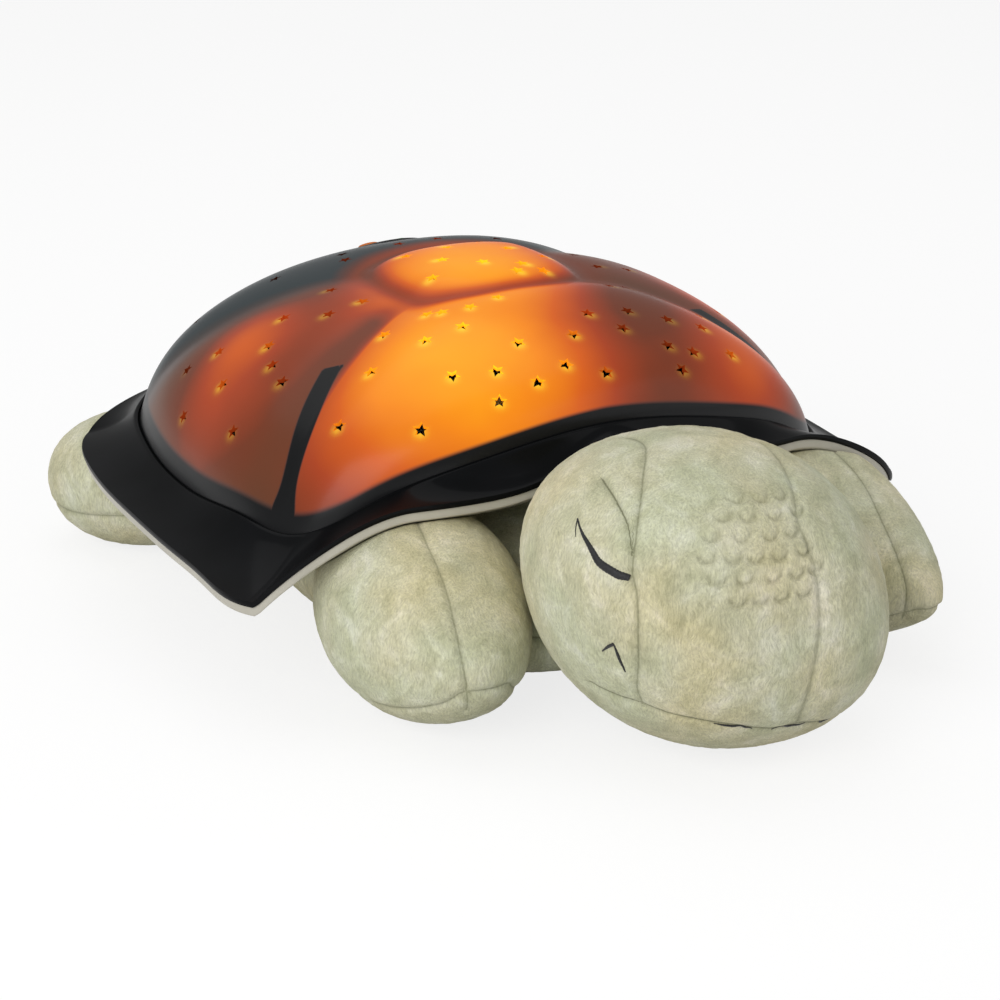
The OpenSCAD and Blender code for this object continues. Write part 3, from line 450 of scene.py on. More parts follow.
# The base colour follows the painted glow too: browner where the glow is low, deeper orange where it is high
plastic = add_node(amber_styrene, "ValToRGB", {"Fac": shade_here}, stops=(
    (0.0, "5a3a26"), (0.3, "5a2c18"), (0.7, "501c08"), (1.0, "4c2204"),
))
light = add_node(amber_styrene, "ValToRGB", {"Fac": shade_here}, stops=(
    (0.0, "180904"), (0.25, "4a1809"), (0.45, "963310"), (0.64, "cc5a0c"),
    (0.82, "f08806"), (1.0, "ffae08"),
))
star_light = add_node(amber_styrene, "Mix", {0: sparkle, 6: light, 7: "ffd22a"}, data_type="RGBA")
band_cover = add_node(amber_styrene, "MapRange", {
    "Value": off_band, "From Min": -1.6, "From Max": 2.6, "To Min": 1.0, "To Max": 0.0,
}, interpolation_type="SMOOTHSTEP")
stripe_cover = add_node(amber_styrene, "MapRange", {
    "Value": off_stripe, "From Min": -0.4, "From Max": 0.5, "To Min": 1.0, "To Max": 0.0,
}, interpolation_type="SMOOTHSTEP")
black_cover = add_node(amber_styrene, "Math", {0: band_cover, 1: stripe_cover}, operation="MAXIMUM")
paint_and_shade_cover = add_node(amber_styrene, "Math", {0: black_cover, 1: rear_shading}, operation="MAXIMUM")
# Black lacquer on the band and stripes; the slate 2f383b where only the rear scute's painted shade lies
black_paint_and_rear_shade = add_node(amber_styrene, "Mix", {0: black_cover, 6: "2f383b", 7: "0a0b0d"}, data_type="RGBA")
face_colour = add_node(amber_styrene, "Mix", {0: paint_and_shade_cover, 6: plastic, 7: black_paint_and_rear_shade}, data_type="RGBA")
face_light = add_node(amber_styrene, "Mix", {0: paint_and_shade_cover, 6: star_light, 7: "000000"}, data_type="RGBA")
shade(amber_styrene, Base_Color=face_colour, Emission_Color=face_light)

# The inner wall, seen through the holes, is the same plastic without the light's glare, painted dark brown as the
# shade inside the holes
styrene_inside = new_material("styrene_inside", Roughness=0.4, IOR=1.59)
place = add_node(styrene_inside, "TexCoord").outputs["Object"]
drift = add_node(styrene_inside, "TexNoise", {"Vector": place, "Scale": 40.0})
tone = add_node(styrene_inside, "ValToRGB", {"Fac": drift}, stops=((0.3, "241009"), (0.7, "3a180c")))
shade(styrene_inside, Base_Color=tone)

# The cut edge of a clear wall carries the lamp's light out, so it is the brightest: its glow is painted as emission
# keyed to the glow mark
star_edge = new_material("star_edge", Roughness=0.3, IOR=1.59, Emission_Strength=1.0)
lit = add_node(star_edge, "Attribute", attribute_name="glow").outputs["Fac"]
tone = add_node(star_edge, "ValToRGB", {"Fac": lit}, stops=(
    (0.1, "200a04"), (0.45, "8a300c"), (0.8, "e08a10"), (1.0, "ffb820"),
))
shade(star_edge, Base_Color=tone, Emission_Color=tone)


def dress(piece, index):
    """Gives a piece the dome's three finishes, and its faces one of them each."""
    for finish in (amber_styrene, styrene_inside, star_edge):
        piece.data.materials.append(finish)
    piece.data.polygons.foreach_set("material_index", np.zeros(len(piece.data.polygons), np.int32) + index)


inner_face = np.array([min(inside[v] for v in p.vertices) for p in dome.data.polygons])
dress(dome, inner_face)
# The panel sits in a stepped bore: a through hole and a wider recess for its rim
for reach, low, high in ((0.0183, -0.012, 0.012), (0.0203, -0.0024, 0.008)):
    bpy.ops.mesh.primitive_cylinder_add(vertices=128, radius=reach, depth=high - low)
    bore = bpy.context.object
    bore.data.transform(on_dome(180.0, panel_level) @ Matrix.Translation((0, 0, (high + low) / 2)))
    dress(bore, 1)
    cut(dome, bore)
dress(punches, 2)
mark(punches, "glow", np.repeat([
    float(glow[np.argmin(np.linalg.norm(where - spot, axis=1))]) for turn, level, k, spot in star_spots
], len(punches.data.vertices) // len(star_spots)))
cut(dome, punches)
crisp(dome, 38)

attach(dome, "turtle")
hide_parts("shell_dome")


# ------------------------------------------------------------------- skirt
# A separate black moulding flares out from under the dome to a sharp rim. It
# arches over the paws, the neck and the tail, and its lip holds the dome's edge.
rim_front, rim_rear, rim_side = 112, 120, 146
skirt_wall, shell_gap = 2.2, 0.15
ledge, post_in = 6, 3.4
strip_top, strip_foot = 2.35, 5.85
post_turns = (56.0, 126.0, -126.0, -56.0)


def rim_r(a):
    """Radius of the rim, which runs out to a point at each corner."""
    b = np.abs(a)
    edge = oval(a, rim_front, rim_rear, rim_side, 3.4)
    return edge + 15 * hill(b - corner_front, 10) + 5 * hill(b - corner_rear, 10)


def arch(t):
    return 1 - (1 - held(t)) ** 2


def rim_z(a):
    """Height of the rim, with its arches over the limbs."""
    b = np.abs(a)
    over_paws, over_neck, over_tail = arch((corner_front - b) / 19), hill(a, 13), arch((b - corner_rear) / 24)
    return 50 + 6 * held((b - corner_front) / 70) + 30.5 * over_paws + 14 * over_neck + 11 * over_tail


def drawn(p, c, q, t):
    """Between p and q, pulled towards c; each is a pair of radius and height."""
    return [(1 - t) ** 2 * p[k] + 2 * t * (1 - t) * c[k] + t * t * q[k] for k in (0, 1)]


around = np.arange(480) * 0.75 - 180
r0, z0, rim = seam_r(around), seam_z(around), (rim_r(around), rim_z(around))
lip = (r0 + 1.65, z0 + 1.2)
pull = (lip[0] + 0.35 * (rim[0] - lip[0]), lip[1] - 0.8 * (lip[1] - rim[1]))
inner = r0 + shell_gap
low, edge = (inner, z0 - skirt_wall), (rim[0] - 0.4, rim[1] - skirt_wall)
profile = [edge, (rim[0] - 0.05, rim[1] - 1.3), (rim[0], rim[1] - 0.7)]
profile += [
    drawn(rim, pull, lip, t)
    for t in (0.004, 0.02, 0.06, 0.12, 0.2, 0.29, 0.38, 0.47, 0.56, 0.65, 0.74, 0.83, 0.91, 0.97)
]
profile += [
    (lip[0] - 0.1, lip[1]), (lip[0] - 0.5, lip[1] + 0.18), (r0 + 0.6, lip[1] + 0.18), (inner, lip[1]),
    (inner, z0 - shell_gap), (r0 - ledge, z0 - shell_gap), (r0 - ledge, z0 - skirt_wall), low,
]
pull_under = (pull[0] - 0.8, pull[1] - skirt_wall)
profile += [drawn(low, pull_under, edge, t) for t in (0.15, 0.3, 0.45, 0.6, 0.75, 0.9)]
skirt = skin("black_skirt", [in_shell(around, *p) for p in profile])
crisp(skirt, 50)


def shell_post(turn, low, high, reach):
    """An upright pin inside the shell, where the ledge of the skirt turns a corner."""
    x, y, _ = in_shell(turn, seam_r(turn) - post_in, 0.0)
    return upright(x, y, low / 1000, high / 1000, reach / 1000)


def flat_r(a):
    """Radius of the flat ring in the middle of the lower shell."""
    return oval(a, 53, 53, 63, 6)


def floor_z(a, r):
    """Height of the lower shell's underside."""
    end = rim_z(a) - strip_foot
    return 56 + (end - 56) * held((r - flat_r(a)) / (rim_r(a) - 1.5 - flat_r(a))) ** 1.5


# A post under each corner of the ledge, with a pilot hole for the shell's screw
for turn in post_turns:
    foot = float(floor_z(turn, seam_r(turn) - post_in))
    cut(skirt, shell_post(turn, foot + 6.15, float(seam_z(turn)) - 1.4, 3.6), "UNION")
    cut(skirt, shell_post(turn, foot + 5, foot + 11.2, 1.3))
black_styrene = new_material(
    "black_styrene", Roughness=0.36, IOR=1.59, Specular_IOR_Level=0.03, Coat_Weight=0.11, Coat_Roughness=0.12)
place = add_node(black_styrene, "TexCoord").outputs["Object"]
haze = add_node(black_styrene, "TexNoise", {"Vector": place, "Scale": 35.0, "Detail": 4.0})
tone = add_node(black_styrene, "ValToRGB", {"Fac": haze}, stops=((0.35, "070809"), (0.7, "0d0e10")))
grain = add_node(black_styrene, "TexNoise", {"Vector": place, "Scale": 900.0})
dull = add_node(black_styrene, "Bump", {"Height": grain, "Strength": 0.04, "Distance": 0.0004})
shade(black_styrene, Base_Color=tone, Normal=dull)
paint(skirt, black_styrene)
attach(skirt, "turtle")
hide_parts("shell_skirt")


# ------------------------------------------------------------- lower shell
# A pale grey tray closes the shell from below. Its outer wall shows under the
# skirt as a thin strip; four posts take the screws that clamp skirt and dome,
# and four bosses on its flat ring carry the chassis.
ring_r, flat, out = oval(around, 43.5, 43.5, 52, 4), flat_r(around), rim_r(around) - 1.5
top = rim_z(around) - strip_top
under, over = (
    [(flat + s * (end - flat), floor_z(around, flat + s * (end - flat)) + wall) for s in shares]
    for end, wall, shares in (
        (out, 0, (0.1, 0.2, 0.35, 0.5, 0.6, 0.7, 0.8, 0.9, 0.96)), (out - 2.3, 2, (0.9, 0.75, 0.6, 0.45, 0.3, 0.15)))
)
profile = [(ring_r, 56 + 0 * flat), (flat, 56 + 0 * flat)] + under
profile += [(out, rim_z(around) - strip_foot), (out + 0.27, top - 3.1), (out + 0.3, top - 2.7), (out + 0.3, top)]
profile += [(out - 1.9, top), (out - 2.3, floor_z(around, out - 2.3) + 2)] + over
profile += [(flat, 58 + 0 * flat), (ring_r, 58 + 0 * flat)]
tray = skin("grey_lower_shell", [in_shell(around, *p) for p in profile])
crisp(tray, 45)
# At each corner a post, the recess of the screw's head and its bore
for turn in post_turns:
    foot = float(floor_z(turn, seam_r(turn) - post_in))
    cut(tray, shell_post(turn, foot + 1, foot + 6, 4.6), "UNION")
    cut(tray, shell_post(turn, foot - 4, foot + 3.2, 2.85))
    cut(tray, shell_post(turn, foot + 2.2, foot + 8.2, 1.5))
for x in (-0.05, 0.05):
    for y in (-0.04, 0.04):
        for reach, low, high, way in ((0.004, 0.057, 0.061, "UNION"), (0.0013, 0.0565, 0.07, "DIFFERENCE")):
            cut(tray, upright(x, shell_y + y, low, high, reach), way)
grey_abs = new_material("grey_abs", Roughness=0.42, IOR=1.53)
place = add_node(grey_abs, "TexCoord").outputs["Object"]
haze = add_node(grey_abs, "TexNoise", {"Vector": place, "Scale": 60.0, "Detail": 3.0})
tone = add_node(grey_abs, "ValToRGB", {"Fac": haze}, stops=((0.3, "b4b0a3"), (0.7, "bfbbae")))
spark_grain = add_node(grey_abs, "TexNoise", {"Vector": place, "Scale": 1400.0})
dull = add_node(grey_abs, "Bump", {"Height": spark_grain, "Strength": 0.08, "Distance": 0.0003})
shade(grey_abs, Base_Color=tone, Normal=dull)
paint(tray, grey_abs)
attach(tray, "turtle")
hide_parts("lower_shell")


# ------------------------------------------------------------------- plush
# The body, head, paws, flippers and tail are short-pile polyester plush sewn
# from panels and stuffed with fibre. The cloth swells between its seams, which
# draw it in, and it is flat where it lies on the table.
def stuffed_rings(ends, x, z, half, shift=1.0, full=0.5, square=2.2, lean=(0, 0), grow=0.0, count=60, sides=72):
    """Cross-sections of a stuffed form along Y, evenly spaced over its surface."""
    fine = np.linspace(0.0004, 0.9996, 3000)
    swell = np.maximum(np.sin(np.pi * fine ** shift), 0) ** full
    run = np.hypot(np.diff(fine) * (ends[1] - ends[0]), np.diff(swell) * max(half))
    run = np.concatenate([[0], np.cumsum(run)])
    places = np.interp(np.linspace(0.012, 0.988, count) * run[-1], run, fine)
    turn = np.arange(sides) * 360 / sides
    return [stuffed_point(t, turn, ends, x, z, half, shift, full, square, lean, grow) for t in places]


def stuffed_point(t, turn, ends, x, z, half, shift=1.0, full=0.5, square=2.2, lean=(0, 0), grow=0.0):
    """A point this share of the way along the form and at this turn round it: x and
    z are its middle at both ends, half its reach sideways and up, lean its slant."""
    c, v = np.cos(np.radians(turn)), np.sin(np.radians(turn))
    s = max(math.sin(math.pi * t ** shift), 0) ** full
    q = s * (np.abs(c) ** square + np.abs(v) ** square) ** (-1 / square)
    return np.stack([
        x[0] + (x[1] - x[0]) * t + ((half[0] + grow) * c + lean[0] * v) * q,
        shell_y * 1000 + ends[0] + (ends[1] - ends[0]) * t + lean[1] * v * q,
        np.maximum(z[0] + (z[1] - z[0]) * t + (half[1] + grow) * v * q, 0),
    ], -1) / 1000


def line_on(form, turn, places):
    """Points along one side of a form, in millimetres."""
    return [stuffed_point(t, np.float64(turn), **form) * 1000 for t in places]


def surface(piece):
    return BVHTree.FromObject(piece, bpy.context.evaluated_depsgraph_get())


def points_of(piece):
    out = np.empty(len(piece.data.vertices) * 3, np.float32)
    piece.data.vertices.foreach_get("co", out)
    return out.reshape(-1, 3).astype(float)


def put_points(piece, points):
    piece.data.vertices.foreach_set("co", np.asarray(points, np.float32).ravel())
    piece.data.update()


def normals_of(piece):
    out = np.empty(len(piece.data.vertices) * 3, np.float32)
    piece.data.vertex_normals.foreach_get("vector", out)
    return out.reshape(-1, 3).astype(float)


def smooth_line(points, step=0.0006):
    """A smooth line through the given points, with evenly spaced points of its own."""
    points = np.array(points, float)
    ends = np.vstack([2 * points[0] - points[1], points, 2 * points[-1] - points[-2]])
    out = []
    for k in range(1, len(ends) - 2):
        p0, p1, p2, p3 = ends[k - 1:k + 3]
        many = max(int(np.linalg.norm(p2 - p1) / step), 1)
        for t in np.arange(many)[:, None] / many:
            out.append((2 * p1 + (p2 - p0) * t + (2 * p0 - 5 * p1 + 4 * p2 - p3) * t ** 2
                        + (3 * p1 - p0 - 3 * p2 + p3) * t ** 3) / 2)
    return np.vstack(out + [points[-1:]])


def on_surface(line, tree):
    return np.array([tree.find_nearest(Vector(p))[0] for p in line])


def nearest(points, line, reach=0.012, normals=None):
    """How far each point is from the line, no further than reach. Given the normals
    of the cloth, also on which side of the line it lies, as a sign."""
    tree = KDTree(len(line))
    for k, p in enumerate(line):
        tree.insert(Vector(p), k)
    tree.balance()
    out, side = np.full(len(points), reach), np.ones(len(points))
    ways = np.gradient(line, axis=0)
    close = np.linalg.norm(points - np.clip(points, line.min(0) - reach, line.max(0) + reach), axis=1) < 1e-9
    for k in np.nonzero(close)[0]:
        spot, at, gap = tree.find(Vector(points[k]))
        out[k] = min(gap, reach)
        if normals is not None:
            side[k] = np.sign(np.dot(np.cross(ways[at], normals[k]), points[k] - line[at])) or 1.0
    return out if normals is None else (out, side)


def stuff(name, form, seams, puff=0.0022, voxel=0.0042, shrink=0.8):
    """A stuffed piece: its form is remeshed, blown up as cloth that is held at its
    seams, and made fine. It comes back with its seam lines, laid on its surface."""
    piece = skin(name, stuffed_rings(**form, grow=-shrink), tips=(
        stuffed_point(0.0, np.float64(0), **form), stuffed_point(1.0, np.float64(0), **form)))
    finish_with(piece, "REMESH", mode="VOXEL", voxel_size=voxel)
    still = points_of(piece)
    tree = surface(piece)
    lines = [on_surface(smooth_line(np.array(seam) / 1000), tree) for seam in seams]
    sewn = piece.vertex_groups.new(name="sewn")
    drawn_in = np.zeros(len(still))
    for line in lines:
        drawn_in = np.maximum(drawn_in, hill(nearest(still, line) * 1000, 3.5))
    for k, weight in enumerate(drawn_in):
        if weight > 0.05 or still[k, 2] < 0.002:
            sewn.add([k], max(float(weight), 1.0 if still[k, 2] < 0.002 else 0.0), "REPLACE")
    cloth = piece.modifiers.new("cloth", "CLOTH")
    cloth.settings.use_pressure = True
    cloth.settings.uniform_pressure_force = 4
    cloth.settings.effector_weights.gravity = 0
    cloth.settings.vertex_group_mass = "sewn"
    for moment in range(1, 21):
        bpy.context.scene.frame_set(moment)
    blown = piece.evaluated_get(bpy.context.evaluated_depsgraph_get())
    moved = np.empty(len(still) * 3, np.float32)
    blown.data.vertices.foreach_get("co", moved)
    moved = moved.reshape(-1, 3) - still
    far = np.linalg.norm(moved, axis=1, keepdims=True)
    piece.modifiers.remove(cloth)
    put_points(piece, still + moved * np.minimum(1, puff / np.maximum(far, 1e-9)))
    bpy.context.scene.frame_set(1)
    finish_with(piece, "SMOOTH", factor=0.5, iterations=2)
    finish_with(piece, "SUBSURF", levels=2, render_levels=2)
    return piece, lines


def sew(piece, lines, shadows, deep=0.8, wide=1.3):
    """Draws the cloth in along its seams, and ruffles the pile a little. Keeps how
    far every point is from a seam, and on which side, in millimetres, and how much
    shade is painted into that seam, more in some than in others."""
    points, normals = points_of(piece), normals_of(piece)
    tree = surface(piece)
    in_seam, off_seam = np.zeros(len(points)), np.full(len(points), 9.0)
    signed, shadow = off_seam.copy(), np.zeros(len(points))
    for line, dark in zip(lines, shadows):
        gap, side = nearest(points, on_surface(line, tree), normals=normals)
        gap *= 1000
        in_seam = np.maximum(in_seam, hill(gap, wide))
        signed = np.where(gap < off_seam, gap * side, signed)
        shadow = np.where(gap < off_seam, dark, shadow)
        off_seam = np.minimum(gap, off_seam)
        points -= normals * (hill(gap, 5.5)[:, None] * 0.0004)
    mark(piece, "off_seam", off_seam)
    mark(piece, "seam_side", signed)
    mark(piece, "seam_shade", shadow)
    points -= normals * in_seam[:, None] * deep / 1000
    tuft = np.array([
        noise.noise(Vector(p) * 260) * 0.65 + noise.noise(Vector(p) * 620) * 0.35 for p in points
    ])
    points += normals * (tuft * (1 - 0.7 * in_seam))[:, None] * 0.00034
    points[:, 2] = np.maximum(points[:, 2], 0)
    put_points(piece, points)
    return in_seam


def clear_of(piece, *others):
    """Cuts a piece where its neighbours, swollen by a hair, press into it."""
    for other in others:
        press = other.copy()
        press.data = other.data.copy()
        bpy.context.scene.collection.objects.link(press)
        finish_with(press, "DISPLACE", strength=0.0003, mid_level=0)
        cut(piece, press)


def cut_under_shell(piece, low_gap=0.5):
    """Presses the cloth down where it runs under the lower shell and its strip."""
    points = points_of(piece)
    across, along = points[:, 0] * 1000, (points[:, 1] - shell_y) * 1000
    turn, reach = np.degrees(np.arctan2(across, -along)), np.hypot(across, along)
    rim = rim_r(turn)
    roof = floor_z(turn, np.minimum(reach, rim - 1.5)) - low_gap
    roof = np.where(reach > rim + 0.7, roof + 2.2 * (reach - rim - 0.7), roof)
    points[:, 2] = np.minimum(points[:, 2], roof / 1000)
    put_points(piece, points)


def plush_look():
    """Short-pile plush: mottled sage where the pile lies this way and that, with
    painted shade in the seams, and pale at grazing angles where light catches the tips."""
    made = new_material(
        "sage_plush", Roughness=0.85, Specular_IOR_Level=0.2, Sheen_Weight=0.35, Sheen_Roughness=0.45,
        Sheen_Tint="e6e4d0")
    place = add_node(made, "TexCoord").outputs["Object"]
    patch = add_node(made, "TexNoise", {
        "Vector": place, "Scale": 62.0, "Detail": 5.0, "Roughness": 0.68, "Distortion": 0.5})
    ground = add_node(made, "ValToRGB", {"Fac": patch}, stops=(
        (0.30, "bab99a"), (0.45, "cfcdaf"), (0.56, "dbd9bf"), (0.70, "edead9"),
    ))
    warmth = add_node(made, "TexNoise", {"Vector": place, "Scale": 24.0, "Detail": 2.0})
    warm = add_node(made, "ValToRGB", {"Fac": warmth}, stops=(
        (0.36, "f4f9f4"), (0.5, "fcfbf6"), (0.64, "fff8e8")))
    ground = add_node(made, "Mix", {0: 1.0, 6: ground, 7: warm}, data_type="RGBA", blend_type="MULTIPLY")
    lay = add_node(made, "TexNoise", {"Vector": place, "Scale": 90.0, "Detail": 2.0})
    lay_way = add_node(made, "VectorMath", {
        0: lay.outputs["Color"], 1: (0.006, 0.006, 0.003)}, operation="MULTIPLY")
    lay_place = add_node(made, "VectorMath", {0: place, 1: lay_way}, operation="ADD")
    lying = add_node(made, "Mapping", {"Vector": lay_place, "Scale": (1.0, 1.0, 0.26)})
    pile = add_node(made, "TexNoise", {"Vector": lying, "Scale": 1350.0, "Detail": 4.0, "Roughness": 0.7})
    strand = add_node(made, "MapRange", {
        "Value": pile, "From Min": 0.32, "From Max": 0.68, "To Min": 0.74, "To Max": 1.16})
    coat = add_node(made, "Mix", {0: 1.0, 6: ground, 7: strand}, data_type="RGBA", blend_type="MULTIPLY")
    seam_band_shade, off_seam, seam_side, shadow = (
        add_node(made, "Attribute", attribute_name=mark_name).outputs["Fac"]
        for mark_name in ("seam", "off_seam", "seam_side", "seam_shade")
    )
    from_line = add_node(made, "Math", {0: seam_side}, operation="ABSOLUTE")
    line = add_node(made, "MapRange", {
        "Value": from_line, "From Min": 0.15, "From Max": 0.55, "To Min": 1.0, "To Max": 0.0})
    near = add_node(made, "Math", {0: off_seam, 1: 2.4}, operation="LESS_THAN")
    seam_line_shade = add_node(made, "Math", {0: line, 1: near}, operation="MULTIPLY")
    # Painted shade: the pile darkens towards 5f6145 across each seam's drawn-in band, and more along the seam line by
    # that seam's shadow share
    tone = add_node(made, "Math", {0: seam_band_shade, 1: 0.24}, operation="MULTIPLY")
    into = add_node(made, "Math", {0: seam_line_shade, 1: shadow, 2: tone}, operation="MULTIPLY_ADD")
    shaded = add_node(made, "Mix", {0: into, 6: coat, 7: "5f6145"}, data_type="RGBA")
    ruffle = add_node(made, "Bump", {"Height": pile, "Strength": 0.7, "Distance": 0.001})
    shade(made, Base_Color=shaded, Normal=ruffle)
    return made


sage_plush = plush_look()
body_form = dict(ends=(-131, 113), x=(0, 0), z=(25.8, 25.8), half=(86, 30), full=0.3, square=3)
side_seams = [line_on(body_form, turn, (0.02, 0.1, 0.25, 0.4, 0.55, 0.7, 0.85, 0.96)) for turn in (8, 172)]
torso, lines = stuff("plush_body", body_form, side_seams)
mark(torso, "seam", sew(torso, lines, (0.4, 0.4)))
cut_under_shell(torso, 0.2)
# The battery box stands in a square opening
bpy.ops.object.select_all(action="DESELECT")
bpy.ops.mesh.primitive_cube_add(size=1, location=(0, shell_y, 0.03))
well = bpy.context.object
well.scale = (0.0766, 0.0436, 0.09)
bpy.ops.object.transform_apply(location=True, rotation=False, scale=True)
cut(torso, well)


def dress_cut(piece, node):
    paint(piece, sage_plush)
    alone(piece)
    bpy.ops.object.shade_smooth()
    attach(piece, "turtle")
    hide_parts(node)


dress_cut(torso, "torso")

# The head is one wide panel over the brow and nose between two cheeks, with a
# darted eyelid on each side, and a mouth seam low round its front.
head_form = dict(
    ends=(-230, -108.5), x=(0, 0), z=(62.4, 52), half=(63, 58.5), shift=0.94, full=0.34, lean=(-11.9, 3.9))
near_seam = [
    (-22, -108, 113), (-25.2, -128.2, 115.2), (-38.2, -147.9, 109.6), (-46.2, -158.1, 100), (-50.1, -162.3, 91.8),
    (-52.1, -164.6, 84.3), (-51.8, -167.5, 77.1), (-51.6, -168.3, 65.7), (-50.2, -166.5, 51.3), (-48.2, -162.6, 40.3),
    (-44.7, -160.5, 32.7),
]
far_seam = [
    (26, -112, 113), (21, -134, 113), (16.7, -150.1, 109.5), (11, -166, 103.5), (6.6, -177, 96.9), (8, -183.5, 87),
    (9, -186.2, 76.6), (8.9, -188.2, 59), (6.6, -188, 41.7), (5.8, -184.6, 29.8), (7, -181, 23),
]
lid_seam = [
    (-45.7, -133.7, 107.9), (-47.6, -144.9, 104.9), (-48.8, -154.9, 99.6), (-50.5, -160.9, 92.7),
    (-52.1, -164.6, 84.3),
]
mouth_seam = [
    (-52, -140, 36), (-49.5, -152, 33.5), (-44.7, -160.5, 32.7), (-37.4, -167.9, 30.4), (-29.4, -173.8, 28.8),
    (-17.1, -178.5, 26), (-4.5, -179.2, 22.4), (9.9, -179.3, 21.2), (24.1, -174.1, 17.3), (38, -165, 18),
    (48, -152, 22),
]
far_lid = [(36, -116, 108.5), (42, -127, 105), (48, -138, 98), (54, -147, 88.5), (58, -150.5, 79)]
head, lines = stuff("plush_head", head_form, [near_seam, far_seam, lid_seam, mouth_seam, far_lid], voxel=0.0034)
# Shallow scales are quilted into the brow, in rows that are half a step apart
head_tree = surface(head)
in_seam = sew(head, lines, (0.34, 0.14, 0.6, 0.55, 0.6))
points, normals = points_of(head), normals_of(head)
middle = np.array([0, shell_y - 0.172, 0.058])
for row in range(6):
    rise_at = math.radians(18 + 6.6 * row)
    for column in range(-8, 7):
        step = column + 0.5 * (row % 2) + 0.12 * math.sin(9 * row + 5 * column)
        sweep = math.radians(-14 + step * 8.4 / math.cos(rise_at))
        if not -38 + abs(row - 3) * 3 < math.degrees(sweep) < 11:
            continue
        way = Vector((
            math.sin(sweep) * math.cos(rise_at), -math.cos(sweep) * math.cos(rise_at), math.sin(rise_at)))
        hit = head_tree.ray_cast(Vector(middle), way)[0]
        if hit is None:
            continue
        away = (points - np.array(hit)) * 1000
        flat = np.linalg.norm(away, axis=1)
        close = flat < 6
        ring = hill(flat[close] - 3.1, 0.8)
        below = held(0.35 - away[close, 2] / np.maximum(flat[close], 0.1) * 1.1)
        dent = ring * below * 1.15 - hill(flat[close], 2.2) * 0.3
        points[close] -= normals[close] * dent[:, None] / 1000
        # Painted shade on the lower side of each scale's dimple ring, darkened like a seam
        in_seam[close] = np.maximum(in_seam[close], 0.9 * ring * below)
put_points(head, points)
mark(head, "seam", in_seam)
cut_under_shell(head)
clear_of(head, torso)
dress_cut(head, "head")

# Each front paw is two side panels on a flat sole; the left one is stretched out
right_paw_form = dict(
    ends=(-158, -45.5), x=(-77.7, -73.7), z=(34.4, 40.4), half=(38.5, 38), shift=1.05, lean=(0, 2))
left_paw_form = dict(ends=(-172, -43.7), x=(104, 80), z=(30, 42.4), half=(38.5, 38), shift=1.36, lean=(0, 2))


def round_seam(form, turn_low, turn_high, at=(0.9, 0.75, 0.6, 0.45, 0.3, 0.18, 0.09, 0.03)):
    """A seam that runs along one side of a form, round its front and back along the other."""
    return line_on(form, turn_low, at) + line_on(form, turn_high, at[::-1])


def sew_on(limb, lines, shadows, *neighbours):
    """Sews a limb, and presses it where it runs under the shell or meets its neighbours."""
    mark(limb, "seam", sew(limb, lines, shadows))
    cut_under_shell(limb)
    clear_of(limb, *neighbours)


right_paw, lines = stuff("plush_front_right_paw", right_paw_form, [
    [(-77, -45, 77.5), (-78.4, -59.6, 75.1), (-81.8, -76.2, 71.1), (-83.5, -88.8, 65.1), (-84.9, -98.2, 58.6),
     (-86.6, -105.7, 51.2), (-87, -110.5, 42), (-86, -112, 33), (-84.5, -110.5, 25), (-83, -108, 19)],
    round_seam(right_paw_form, 222, 318),
])
sew_on(right_paw, lines, (0.3, 0.34), torso, head)
dress_cut(right_paw, "front_right_paw")

left_paw, lines = stuff("plush_front_left_paw", left_paw_form, [
    [(99, -45, 75), (101.5, -66, 71.5), (101.2, -83.9, 65.2), (97.6, -101.9, 55.6), (95.4, -116.1, 44.6),
     (94.5, -122, 35), (93.5, -123, 27.4), (94, -121.5, 21.5)],
    round_seam(left_paw_form, 218, 322),
])
sew_on(left_paw, lines, (0.34, 0.34), torso, head)
dress_cut(left_paw, "front_left_paw")

# The rear flippers are broad and low, with one seam on top and one round the sole
for side, node in ((-1, "rear_right_flipper"), (1, "rear_left_flipper")):
    flipper_form = dict(
        ends=(42, 146), x=(86 * side, 110 * side), z=(34.1, 26.1), half=(40, 30.5), shift=1.35, full=0.55)
    flipper, lines = stuff("plush_" + node, flipper_form, [
        line_on(flipper_form, 90, (0.5, 0.65, 0.8, 0.9, 0.97)),
        round_seam(flipper_form, 200, 340, at=(0.15, 0.3, 0.45, 0.6, 0.75, 0.86, 0.94, 0.985)),
    ])
    sew_on(flipper, lines, (0.34, 0.3), torso)
    dress_cut(flipper, node)

tail_form = dict(ends=(100, 142), x=(0, 0), z=(24, 12), half=(15, 12.5), shift=1.3)
tail_seam = round_seam(tail_form, 180, 360, at=(0.3, 0.5, 0.7, 0.85, 0.95))
tail, lines = stuff("plush_tail", tail_form, [tail_seam], voxel=0.003)
mark(tail, "seam", sew(tail, lines, (0.3,)))
clear_of(tail, torso)
dress_cut(tail, "tail")


